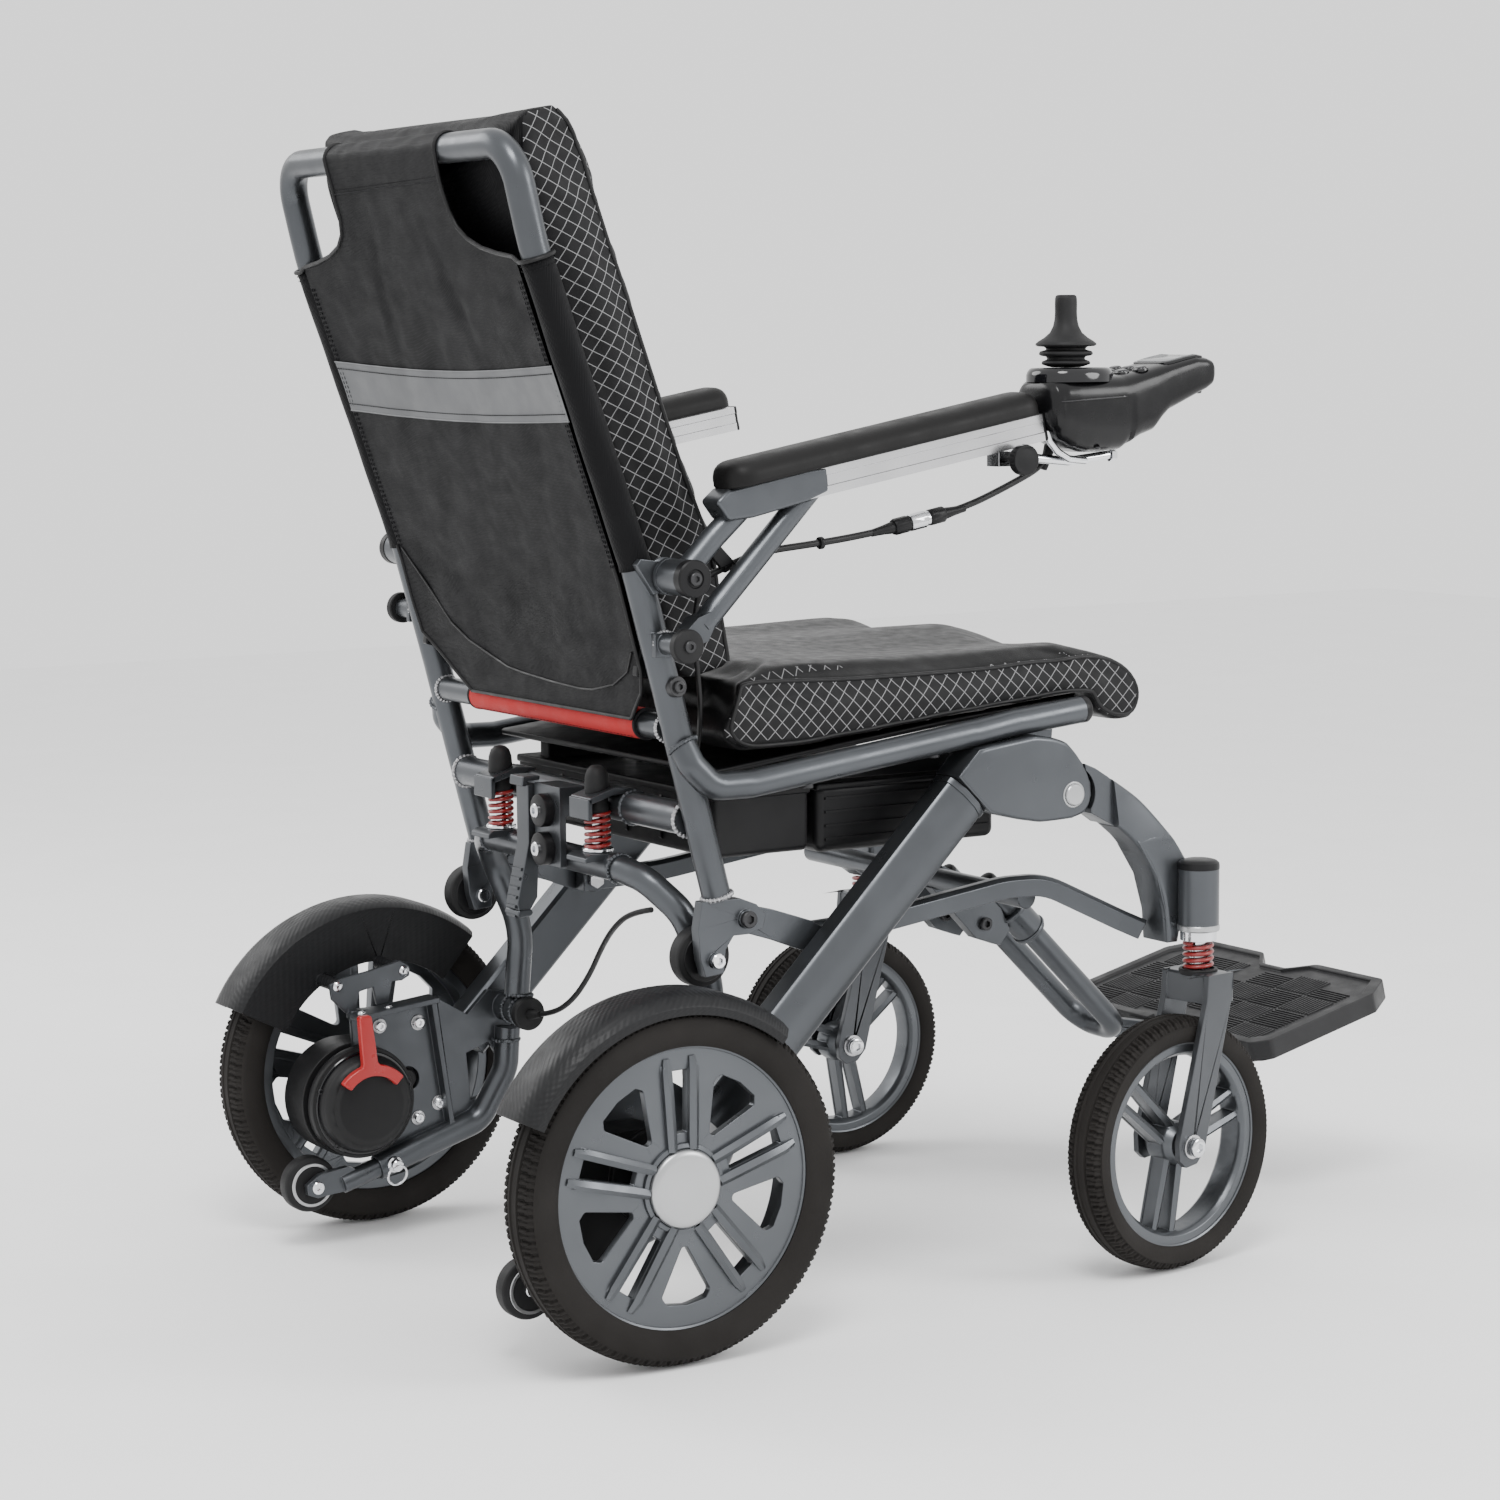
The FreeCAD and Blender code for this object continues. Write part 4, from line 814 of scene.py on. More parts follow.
o = grid_prism("seat_cover", dense(smooth_loop(SEAT, 3), 9), 219, 40, seat_shape)
SEATPAD = inflate(o, 0.0055, 3.0, 0.007, lambda co: 1.0 if co.z < 0.5205 else 0.0)
subdiv(SEATPAD, 1)
BACK = [(55, 1030), (72, 1024), (70, 985), (47, 909), (-36, 668), (-68, 560), (-78, 548), (-122, 560), (-104, 668), (-30, 880), (10, 985), (26, 1018), (40, 1033)]


def back_shape(x, y, z):
    t = abs(x) / 198.0
    return y + 6.0 * max(0.0, 1 - t * t) * (1 if y < (z - 640) * 0.31 - 30 else 0), z


o = grid_prism("back_cover", dense(BACK, 9), 195, 36, back_shape)
BACKPAD = inflate(o, 0.006, 3.0, 0.008)
subdiv(BACKPAD, 1)


def cushion_finish(o, kind):
    me = o.data
    me.materials.clear()
    top, side = (M["leather"], M["lattice"]) if kind == "seat" else (M["sling"], M["lattice"])
    me.materials.append(top.m)
    me.materials.append(side.m)
    uv = me.uv_layers.new(name="UVMap")
    for p in me.polygons:
        p.use_smooth = True
        c = p.center
        if kind == "seat":
            sd = abs(p.normal.x) > 0.62 and c.z > 0.500
            p.material_index = 1 if sd else 0
        else:
            p.material_index = 1 if abs(p.normal.x) > 0.60 else 0
        for li in p.loop_indices:
            v = me.vertices[me.loops[li].vertex_index].co
            if kind == "seat":
                uv.data[li].uv = (v.y, v.z)
            else:
                a = math.atan2(0.97, 0.25)
                uv.data[li].uv = (v.y * 0.955 - v.z * 0.296, v.y * 0.296 + v.z * 0.955)
    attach(o, "seat_back")


cushion_finish(SEATPAD, "seat")
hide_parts("seat_cushion")
cushion_finish(BACKPAD, "back")
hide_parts("back_cushion")


def piping(name, obj, loop, r, body, inset=0.0, closed=True):
    """Cord sewn along a seam: each point goes to the nearest place on the cover."""
    pts = []
    for q in loop:
        ok, loc, nrm, _ = obj.closest_point_on_mesh(obj.matrix_world.inverted() @ P(*q))
        w = obj.matrix_world @ loc
        pts.append((w.x * 1000, w.y * 1000 - YS, w.z * 1000))
    a = np.array(pts)
    for _ in range(3):
        a = (np.roll(a, 1, 0) + 2 * a + np.roll(a, -1, 0)) / 4 if closed else np.vstack([a[:1], (a[:-2] + 2 * a[1:-1] + a[2:]) / 4, a[-1:]])
    return sweep(name, [tuple(q) for q in a], r, "piping", body, 10, closed)


for s, t in ((-1, "r"), (1, "l")):
    lp = dense(smooth_loop(SEAT, 3), 8)
    piping("seat_piping_" + t, SEATPAD, [(s * 226, y, z + (3 if z > 530 else 0)) for y, z in lp], 2.0, "seat_back")
    lp = dense(BACK, 8)
    cyb = np.mean([q[0] for q in BACK])
    front = [(-122, 560), (-104, 668), (-30, 880), (10, 985), (26, 1018), (40, 1033)]
    fr = [front[0]]
    for a, b in zip(front[:-1], front[1:]):
        for j in range(1, 13):
            fr.append((a[0] + (b[0] - a[0]) * j / 12, a[1] + (b[1] - a[1]) * j / 12))
    piping("back_piping_front_" + t, BACKPAD, [(s * 202, y - 6, z) for y, z in fr], 2.0, "seat_back", closed=False)

# ------------------------------------------------------------------ finish loop of batches, stage, lights
def close_batches():
    for i, ((body, mat), b) in enumerate(sorted(Batch.all.items())):
        finish_obj("fix_%s_%s" % (body, mat), b.v, b.f, mat, body, True, 35)



# ------------------------------------------------------------------ back sling
def post_y(z):
    return float(np.interp(z, [372, 545, 658, 909, 960, 996], [-88, -43, -12, 75.8, 89, 96]))


def hash_noise(x, z):
    return 0.5 * sin(0.031 * x + 0.012 * z + 1.3) * sin(0.017 * z + 0.6) + 0.35 * sin(0.06 * x - 0.021 * z) * sin(0.011 * z + 2.0) + 0.2 * sin(0.11 * x + 0.05 * z)


def sling_half(z, side=1):
    """Half width of the cloth at height z: flap, arm cut-outs, body, cut corners."""
    if z > 905:
        return float(np.interp(z, [905, 909, 914, 922, 932, 945, 970, 996], [203, 172, 146, 124, 111, 105, 103, 106]))
    if side > 0:
        return float(np.interp(z, [521, 528, 571, 600], [122, 131, 199, 203]))
    return float(np.interp(z, [521, 524, 545, 565], [168, 173, 196, 203]))


SLY = 13.6


def sling_point(u, z):
    w = sling_half(z, 1 if u > 0 else -1)
    x = u * w
    belly = 5.0 * (1 - (x / 215.0) ** 2) * min(1.0, max(0.0, (z - 545) / 80.0)) * min(1.0, max(0.0, (985 - z) / 60.0))
    ease = min(1.0, max(0.0, (1 - abs(u)) * 6)) * min(1.0, max(0.0, (990 - z) / 40.0)) * min(1.0, max(0.1, (z - 521) / 40.0))
    wr = 1.9 * hash_noise(x, z) * ease
    crease = 2.0 * math.exp(-((z - 775 + 0.55 * (x + 40)) / 9.0) ** 2) * math.exp(-((x + 60) / 70.0) ** 2) * ease
    crease += 1.8 * math.exp(-((x - 60 - 0.22 * (900 - z)) / 9.0) ** 2) * math.exp(-((z - 880) / 70.0) ** 2) * ease
    crease += 1.8 * math.exp(-((x + 62 + 0.18 * (900 - z)) / 10.0) ** 2) * math.exp(-((z - 875) / 60.0) ** 2) * ease
    crease += 2.0 * math.exp(-((z - 590 - 0.42 * (x - 20)) / 10.0) ** 2) * math.exp(-((x - 110) / 80.0) ** 2) * ease
    sag = 2.2 * math.exp(-((z - 800 - 0.05 * x) / 34.0) ** 2) * ease
    low = 1.8 * min(1.0, max(0.0, (556 - z) / 20.0))
    return x, post_y(z) + SLY - belly + wr - crease - sag + low, z


rows = [521, 524, 528, 533, 539, 545, 551, 558, 565, 571, 578, 586, 596, 606, 616, 628, 640]
z = 648.0
while z < 900:
    rows.append(z)
    z += 7.0
rows += [901, 904, 905.5, 907, 909, 911.5, 914, 918, 922, 927, 932, 938, 945, 952, 960, 966, 970, 972, 977, 984, 990, 996]
NXS = 64
sv, sf = [], []
us = [2 * i / NXS - 1 for i in range(NXS + 1)]
for z in rows:
    for u in us:
        sv.append(P(*sling_point(u, z)))
wrap = []
for k in range(1, 17):
    a = radians(k * 12.5)
    for u in us:
        x = u * 106
        rr = 13.5 + 0.25 * sin(x * 0.13 + k)
        sv.append(P(x, 96 + rr * cos(a), 996 + rr * sin(a)))
    wrap.append(a)
for k, zz in enumerate((984, 978, 973)):
    for u in us:
        sv.append(P(u * 105.5, 96 - 13.5 + 3.0 * (k + 1) + 1.0 * k, zz))
nr = len(rows) + 16 + 3
for i in range(nr - 1):
    for j in range(NXS):
        a = i * (NXS + 1) + j
        sf.append((a, a + 1, a + NXS + 2, a + NXS + 1))
SL = finish_obj("back_cloth", sv, sf, "sling", "seat_back", True)
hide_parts("back_sling")
extras = []


def strip(name, pts_a, pts_b, mat, body, thick=0.0, slot=None):
    """Band of cloth between two point rows."""
    v = [P(*q) for q in pts_a] + [P(*q) for q in pts_b]
    n = len(pts_a)
    o = finish_obj(name, v, [(i, i + 1, n + i + 1, n + i) for i in range(n - 1)], mat, body, True)
    if thick:
        s = o.modifiers.new("solid", "SOLIDIFY")
        s.thickness, s.offset = thick / 1000.0, 0
    return o


def stitches(body, mat, pts, pitch=4.6, length=3.0, r=0.42):
    """Row of short raised threads along a path."""
    p = np.array(pts, float)
    seg = np.linalg.norm(np.diff(p, axis=0), axis=1)
    acc = np.concatenate([[0], np.cumsum(seg)])
    t = 0.5
    while t + length < acc[-1]:
        a = np.array([np.interp(t, acc, p[:, k]) for k in range(3)])
        b = np.array([np.interp(t + length, acc, p[:, k]) for k in range(3)])
        m = (a + b) / 2
        Batch.get(body, mat).add(sweep_data([a, m, b], [r * 0.6, r, r * 0.6], 5))
        t += pitch


# sleeves round the posts
for s, t in ((-1, "r"), (1, "l")):
    v, f = [], []
    zs = [652 + (905 - 652) * i / 40 for i in range(41)]
    K = 30
    for i, z in enumerate(zs):
        dz = 1.0
        dy = (post_y(z + 4) - post_y(z - 4)) / 8.0
        T = np.array([0, dy, 1.0])
        T /= np.linalg.norm(T)
        N = np.cross([1.0, 0, 0], T)
        N = -N if N[1] < 0 else N
        c = np.array([s * 215.0, post_y(z), z])
        for j in range(K):
            a = 2 * pi * j / K
            rr = 13.6 + 0.35 * sin(3 * a + z * 0.05) * sin(z * 0.031) + (0.5 if i in (0, 40) else 0)
            v.append(P(*(c + N * rr * cos(a) + np.array([s, 0, 0]) * rr * sin(a))))
    for i in range(40):
        for j in range(K):
            f.append((i * K + j, i * K + (j + 1) % K, (i + 1) * K + (j + 1) % K, (i + 1) * K + j))
    o = finish_obj("post_sleeve_" + t, v, f, "sling", "seat_back", True)
    q = o.modifiers.new("solid", "SOLIDIFY")
    q.thickness, q.offset = 0.0008, -1
    extras.append(o)
    # sewn seam beside the sleeve, and the hem at its top
    stitches("seat_back", "thread", [(s * 200.5, sling_point(200.5 / 203, z)[1] + 0.5, z) for z in range(650, 900, 10)], 4.4, 3.0)
    stitches("seat_back", "thread", [(s * 196.5, sling_point(196.5 / 203, z)[1] + 0.5, z) for z in range(650, 900, 10)], 4.4, 3.0)
    ring = []
    for zz in (897.5, 901.5):
        c = np.array([s * 215.0, post_y(zz), zz])
        stitches("seat_back", "thread", [tuple(c + np.array([s * sin(a) * 14.1, cos(a) * 14.1, -cos(a) * 14.1 * 0.35])) for a in [radians(q) for q in range(-90, 200, 12)]], 4.2, 2.8)
    # binding round the arm cut-out, from the bar down to the sleeve
    pts = [(s * 106, 96 + 13.6 * cos(a), 996 + 13.6 * sin(a)) for a in [radians(q) for q in range(200, 0, -15)]]
    for z in (996, 990, 984, 977, 970, 960, 952, 945, 938, 932, 927, 922, 918, 914, 911.5, 909, 907, 905.5):
        x, y, zz = sling_point(s, z)
        pts.append((x, y, zz))
    pts.append((s * 203, post_y(904.5) + 13.8, 904.5))
    c = np.array([s * 215.0, post_y(905), 905])
    for a in range(-25, 200, 15):
        th = radians(a)
        pts.append(tuple(c + np.array([s * sin(th) * 14.2, cos(th) * 14.2, -cos(th) * 14.2 * 0.33])))
    extras.append(sweep("cutout_binding_" + t, pts, 1.9, "piping", "seat_back", 8))
    # binding along the cut lower corner
    pts = [(s * 203, post_y(652) + 13.9, 652)] + [sling_point(s, z) for z in (640, 628, 616, 606, 596, 586, 578, 571, 565, 558, 551, 545, 539, 533, 528, 524, 521)]
    extras.append(sweep("corner_binding_" + t, pts, 1.6, "piping", "seat_back", 8))
    # plastic strap tab under the sleeve
    bx = plate("strap_tab_" + t, offset_loop([(-42, 588), (-26, 590), (-22, 560), (-38, 556)], 0), s * 196 - 4.5, s * 196 + 4.5, "plastic", "seat_back", 0.0018)
seamz = 971
stitches("seat_back", "thread", [(x, sling_point(x / sling_half(seamz), seamz)[1] + 0.45, seamz - 0.02 * x) for x in range(-102, 103, 6)], 4.4, 3.1)
extras.append(sweep("flap_seam", [(x, sling_point(x / sling_half(968), 968)[1] + 0.2, 968 - 0.02 * x) for x in range(-104, 105, 8)], 0.7, "thread", "seat_back", 6))
extras.append(sweep("lower_hem", [sling_point(u / 40.0, 521.5) for u in range(-40, 41)], 1.6, "piping", "seat_back", 8))
extras.append(sweep("lower_seam", [(x, sling_point(x / 203.0, zz)[1] + 0.5, zz) for x, zz in ((196, 650), (180, 632), (160, 610), (133, 584), (105, 570), (70, 558), (40, 550), (12, 547), (-40, 543), (-90, 541), (-114, 542), (-150, 549), (-180, 562), (-196, 580))], 0.9, "piping", "seat_back", 6))
# reflective band
top, bot, st1, st2 = [], [], [], []
for i in range(49):
    x = 203 - 410 * i / 48.0
    k = (203 - x) / 410.0
    zt = 820.5 - 3.0 * k - 6.5 * sin(pi * k) ** 1.0
    zb = 776.5 - 4.0 * k - 5.0 * sin(pi * k)
    for L, zz, dy in ((top, zt, 1.0), (bot, zb, 1.0), (st1, zt - 6.0, 1.5), (st2, zb + 6.0, 1.5)):
        L.append((x, sling_point(max(-1, min(1, x / 203.0)), zz)[1] + dy, zz))
v, f = [], []
R_ = 7
for k in range(R_ + 1):
    for a, b in zip(top, bot):
        w = k / R_
        x = a[0]
        zz = a[2] + (b[2] - a[2]) * w
        y = sling_point(max(-1, min(1, x / 203.0)), zz)[1] + 1.0 + (0.7 * sin(pi * w) * sin(x * 0.02 + 1))
        v.append(P(x, y, zz))
for k in range(R_):
    for i in range(48):
        f.append((k * 49 + i, k * 49 + i + 1, (k + 1) * 49 + i + 1, (k + 1) * 49 + i))
bd = finish_obj("reflective_band", v, f, "band", "seat_back", True)
extras.append(bd)
for L, zz in ((top, 1), (bot, 1)):
    extras.append(sweep("band_edge_%d" % len(extras), L, 0.7, "band", "seat_back", 6))
stitches("seat_back", "thread", st1, 4.4, 3.0, 0.5)
stitches("seat_back", "thread", st2, 4.4, 3.0, 0.5)

# ------------------------------------------------------------------ grip sleeve
o = lathe("grip_foam", [(11.2, -170), (12.6, -170), (13.2, -169), (13.4, -167), (13.4, 133), (13.2, 135), (12.6, 136), (11.2, 136)], (0, -49, 516), (1, 0, 0), "redfoam", "seat_back", 40, True)
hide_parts("grip_sleeve")
for s in (-1, 1):
    lathe("grip_end_%s" % ("r" if s < 0 else "l"), [(11.2, 133.5 if s > 0 else -167.5), (13.7, 133.5 if s > 0 else -167.5), (13.7, 136.5 if s > 0 else -170.5), (11.2, 136.5 if s > 0 else -170.5)], (0, -49, 516), (1, 0, 0), "thread", "seat_back", 40, True)
stitches("seat_back", "thread", [(x, -49 + 8.0, 516 - 11.0) for x in range(-160, 130, 12)], 6, 4.2, 0.4)

# ------------------------------------------------------------------ arm pads and rails
def pad_piece(t, s):
    L, W, H = 318.0, 26.0, 22.0
    prof = []
    K = 44
    secs = 46
    v, f = [], []
    for i in range(secs + 1):
        k = i / secs
        l = L * (0.5 - 0.5 * cos(pi * k))
        e = min(l, L - l)
        g = 1.0 if e > 22 else max(0.02, (1 - (1 - e / 22.0) ** 2.6) ** (1 / 2.6))
        hh = H * (0.30 + 0.70 * (1.0 if e > 16 else max(0.0, (1 - (1 - e / 16.0) ** 2.2)) ** (1 / 2.2)))
        for j in range(K):
            a = 2 * pi * j / K
            ca, sa = cos(a), sin(a)
            x = math.copysign(abs(ca) ** 0.62, ca) * W * g
            if sa >= 0:
                zz = 4.5 + (hh - 4.5) * abs(sa) ** 0.72
                x *= (1.0 - 0.06 * sa)
            else:
                zz = 4.5 - 4.5 * abs(sa) ** 0.35
            if abs(zz - 4.5) < 1.2:
                x *= 0.982
            v.append((x, -l, zz))
    for i in range(secs):
        for j in range(K):
            f.append((i * K + j, i * K + (j + 1) % K, (i + 1) * K + (j + 1) % K, (i + 1) * K + j))
    f.append(tuple(range(K - 1, -1, -1)))
    f.append(tuple(secs * K + j for j in range(K)))
    c, sn = cos(radians(-10.2)), sin(radians(-10.2))
    vs = []
    for x, y, zz in v:
        y2, z2 = y * c - zz * sn, y * sn + zz * c
        vs.append(P(s * 256.5 + x, y2 - 72, z2 + 715.2))
    o = finish_obj("arm_pad_" + t, vs, f, "pad", "armrest_" + t, True, 50)
    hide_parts("armrest_pad_" + t)
    return o


for s, t in ((-1, "r"), (1, "l")):
    pad_piece(t, s)
    A, B = np.array([s * 255.0, -142.0, 715.8]), np.array([s * 255.0, -391.0, 759.9])
    prof = [(-13.6, -11.6), (-13.6, -4.5), (-12.9, -3.9), (-12.9, 4.6), (-13.6, 5.2), (-13.6, 11.6), (13.6, 11.6), (13.6, 5.2), (12.9, 4.6), (12.9, -3.9), (13.6, -4.5), (13.6, -11.6)]
    d = (B - A) / np.linalg.norm(B - A)
    nrm = np.array([0, -d[2], d[1]])
    if nrm[2] < 0:
        nrm = -nrm
    verts = []
    for q in (A, B):
        for a, b in prof:
            verts.append(P(*(q + np.array([a, 0, 0]) + nrm * b)))
    n = len(prof)
    faces = [tuple(range(n)), tuple(range(2 * n - 1, n - 1, -1))] + [(i, n + i, n + (i + 1) % n, (i + 1) % n) for i in range(n)]
    o = finish_obj("arm_rail_" + t, verts, faces, "railsilver", "armrest_" + t, True, 25)
    bevel(o, 0.0008, 2, 30)
    # rear end fitting between the rail and the bent tube
    fit = [(-60, 706), (-72, 716), (-150, 731), (-168, 732.5), (-170, 711), (-150, 703.5), (-96, 692), (-72, 690)]
    plate("arm_fitting_" + t, fit, s * 255 - 14.2, s * 255 + 14.2, "frame", "armrest_" + t, 0.0035, 4)
    # tip cap
    o = finish_obj("arm_rail_cap_" + t, [P(*(B + np.array([a, 0, 0]) * 1.02 + nrm * b * 1.03 + d * e)) for e in (-1.0, 2.4) for a, b in prof], faces, "plastic", "armrest_" + t)
    bevel(o, 0.0010, 2, 30)
    # screws under the rail
    for l in (70, 150, 225):
        c = A + d * l - nrm * 10.6
        bolt("armrest_" + t, "steel", c, -nrm, 3.2, 2.6, "dome")
    # pivot cap with its socket screw, and the stop stud
    x0 = s * 275.5
    lathe("arm_pivot_cap_" + t, [(0, 0), (14.6, 0), (15.6, 1.0), (15.6, 9.0), (14.4, 10.4), (8.0, 10.6), (7.2, 9.6), (0, 9.6)], (s * 268.8, -33, 645), (s, 0, 0), "plastic", "seat_back", 40)
    bolt("seat_back", "blackbolt", (s * 278.4, -33, 645), (s, 0, 0), 5.4, 3.0)
    lathe("arm_pivot_boss_" + t, [(12.4, 0), (15.2, 0.6), (15.4, 4), (13.2, 6), (13.2, 9.5), (15.4, 11.5), (15.4, 16.2), (12.4, 16.8)], (s * 224.5, -33, 645), (s, 0, 0), "frame", "seat_back", 40, True)
    lathe("arm_stop_" + t, [(9.2, 0), (13.4, 0), (14.4, 1), (14.4, 7.4), (13.2, 8.8), (8.8, 9.2), (0, 9.2)], (s * 259.5, -33, 589), (s, 0, 0), "rubber", "seat_back", 36)
    bolt("seat_back", "blackbolt", (s * 268.4, -33, 589), (s, 0, 0), 5.0, 2.8)
    bead("seat_back", "weld", (s * 228.0, -33, 589), (s, 0, 0), 9.6, 1.7)
    bead("seat_back", "weld", (s * 227.0, -33, 645), (s, 0, 0), 12.6, 1.7)
    lathe("post_screw_boss_" + t, [(0, 0), (8.2, 0), (8.8, 0.8), (8.8, 6.5), (8.0, 7.4), (0, 7.4)], (s * 224.5, -43, 552), (s * 0.96, -0.1, 0.1), "blackbolt", "seat_back", 32)
    bolt("seat_back", "blackbolt", (s * 231.5, -43.5, 552.6), (s * 0.96, -0.1, 0.1), 5.2, 3.2)

# ------------------------------------------------------------------ controller
CX = -255.0
secs = [(-388.8, 777, 792, 15, 2.6), (-390.4, 768, 798, 24, 2.8), (-395, 757, 801, 30, 3.0), (-403, 748, 803, 33, 3.2), (-416, 741, 804, 34.2, 3.4), (-432, 737.4, 804.4, 34.6, 3.6),
        (-452, 737, 804.4, 34.4, 3.8), (-468, 738.5, 804.4, 34, 4.0), (-477, 745, 805.6, 33.6, 4.2), (-486, 750, 807.4, 33.2, 4.4), (-500, 754.5, 810.4, 32.8, 4.6), (-508, 764, 812.2, 32.6, 4.6),
        (-516, 771.5, 813.8, 32.4, 4.8), (-530, 777.5, 816.8, 32.2, 5.0), (-546, 784.5, 819.8, 32, 5.2), (-558, 789.5, 818.8, 31.6, 5.2), (-564, 793, 816.8, 30.6, 4.8), (-567, 797.5, 813.8, 28, 4.0)]
ys = [q[0] for q in secs]
fine = []
yy = ys[0]
while yy > ys[-1]:
    fine.append(yy)
    yy -= 2.6 if -400 > yy > -560 else 0.9
fine.append(ys[-1])
v, f = [], []
K = 64
xs_ = [-q for q in ys]
for yy in fine:
    zb, zt, w, e = [float(np.interp(-yy, xs_, [q[k] for q in secs])) for k in (1, 2, 3, 4)]
    m, h = (zb + zt) / 2, (zt - zb) / 2
    for j in range(K):
        a = 2 * pi * j / K
        ca, sa = cos(a), sin(a)
        x = CX + w * math.copysign(abs(ca) ** (2 / e), ca)
        z = m + h * math.copysign(abs(sa) ** (2 / e), sa)
        if -474 < yy < -400 and z < 786:
            x = CX + (x - CX) * (0.985 - 0.16 * ((786 - z) / 49.0) ** 1.6)
        v.append(P(x, yy, z))
n = len(fine)
for i in range(n - 1):
    for j in range(K):
        f.append((i * K + j, i * K + (j + 1) % K, (i + 1) * K + (j + 1) % K, (i + 1) * K + j))
f.append(tuple(range(K - 1, -1, -1)))
f.append(tuple((n - 1) * K + j for j in range(K)))
o = finish_obj("controller_shell", v, f, "shell", "controller", True, 48)
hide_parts("controller_case")


def superloop(cx, cy, a, b, e, n=72):
    out = []
    for j in range(n):
        t = 2 * pi * j / n
        out.append((cx + a * math.copysign(abs(cos(t)) ** (2 / e), cos(t)), cy + b * math.copysign(abs(sin(t)) ** (2 / e), sin(t))))
    return out


def top_z(y):
    return float(np.interp(-y, xs_, [q[2] for q in secs]))


def ring_piece(name, cx, cyy, a, b, e, levels, mat, body, zf=None, cap=True):
    """Stack of super-ellipse loops; levels are (grow, height over the shell)."""
    v, f = [], []
    n = 72
    for g, h in levels:
        for x, y in superloop(cx, cyy, a + g, b + g, e, n):
            v.append(P(x, y, (zf(y) if zf else 0) + h))
    m = len(levels)
    for i in range(m - 1):
        for j in range(n):
            f.append((i * n + j, i * n + (j + 1) % n, (i + 1) * n + (j + 1) % n, (i + 1) * n + j))
    if cap:
        f.append(tuple((m - 1) * n + j for j in range(n)))
    return finish_obj(name, v, f, mat, body, True, 40)


# glossy collar round the stick, seam band and display
ring_piece("stick_collar", CX, -428, 28.5, 33.0, 2.2, [(5.4, -5), (5.3, 0.8), (4.4, 3.6), (2.8, 6.0), (1.0, 7.2), (-0.8, 7.0), (-1.9, 5.4), (-2.3, 1.5), (-2.5, -4)], "gloss", "controller", lambda y: 803.5, False)
band_pts = []
for j in range(96):
    a = 2 * pi * j / 96
    band_pts.append((CX + 34.7 * math.copysign(abs(cos(a)) ** 0.62, cos(a)), -432 + 41.5 * math.copysign(abs(sin(a)) ** 0.74, sin(a))))
seam = []
for x, y in band_pts:
    z = 784 + 0.05 * (-432 - y)
    yc = max(-471.0, min(-390.8, y))
    zb, zt, w, e = [float(np.interp(-yc, xs_, [q[k] for q in secs])) for k in (1, 2, 3, 4)]
    seam.append((x, yc, z))
for i in range(len(seam)):
    x, y, z = seam[i]
    zb, zt, w, e = [float(np.interp(-y, xs_, [q[k] for q in secs])) for k in (1, 2, 3, 4)]
    m, h = (zb + zt) / 2, (zt - zb) / 2
    lim = w * (max(0.0, 1 - abs((z - m) / h) ** e)) ** (1 / e)
    if abs(x - CX) > lim or abs(x - CX) > lim - 6 and -470 < y < -392:
        seam[i] = (CX + math.copysign(lim + 0.3, x - CX), y, z)
sweep("controller_seam", seam + seam[:1], 0.9, "gloss", "controller", 8)
ring_piece("display_frame", CX, -536, 25.5, 22.5, 7.0, [(0, -1.5), (0, 0.5), (-0.8, 1.0), (-1.4, 1.0)], "gloss", "controller", top_z, True)
ring_piece("display", CX, -536, 22.6, 19.4, 8.0, [(0, 0.6), (0, 1.3), (-0.6, 1.6)], "display", "controller", top_z, True)
BT = [(18, -491), (0, -491), (-18, -491), (9, -477), (-9, -477)]
for i, (bx, by) in enumerate(BT):
    zt = 808.0 if by < -480 else 804.0
    base = top_z(by)
    o = ring_piece("key_%d" % (i + 1), CX + bx, by, 6.4, 4.8, 2.4, [(0.0, -4.0), (0.0, 1.3), (-0.5, 2.1), (-1.4, 2.6), (-3.0, 2.9)], "button", "button_%d" % (i + 1), lambda y: top_z(y) , True)
    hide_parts("button_%d" % (i + 1))
    ring_piece("key_bezel_%d" % (i + 1), CX + bx, by, 7.6, 6.0, 2.4, [(0.4, -1.0), (0.2, 0.7), (-0.5, 1.0), (-1.0, 0.4), (-1.1, -2)], "gloss", "controller", top_z, False)
jp = [(0, 873.5), (7.4, 873.5), (8.9, 872.6), (9.5, 870.4), (9.7, 866), (9.6, 858), (10.0, 852), (11.2, 846.5), (14.0, 841), (19.0, 836.6), (24.0, 833.6), (26.4, 831.6), (26.4, 830.2), (24.6, 829.2), (19, 828.8), (17.2, 827.4), (17.4, 826.2),
      (22.4, 824.9), (23.4, 823.4), (23.2, 822.0), (21.4, 821.0), (17.4, 820.4), (16.4, 819.0), (16.6, 817.8), (20.4, 816.4), (21.2, 815.0), (20.8, 813.6), (18.0, 812.6), (15.0, 811.6), (12.0, 811.0), (0, 810.8)]
jv, jf = lathe_data(jp, (CX, -424, 0), (0, 0, 1), 56)
o = finish_obj("stick_boot", jv, jf, "rubber", "joystick", True, 55)
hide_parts("joystick", "joystick_boot")
for q in ((CX - 24, -440, 741.5), (CX + 24, -440, 741.5), (CX - 20, -555, 788), (CX + 20, -555, 788)):
    bolt("controller", "blackbolt", q, (0, 0, -1), 2.8, 1.6, "dome")
bolt("controller", "chrome", (CX, -472, 734), (0, -1, 0), 5.6, 5.0, "hex")
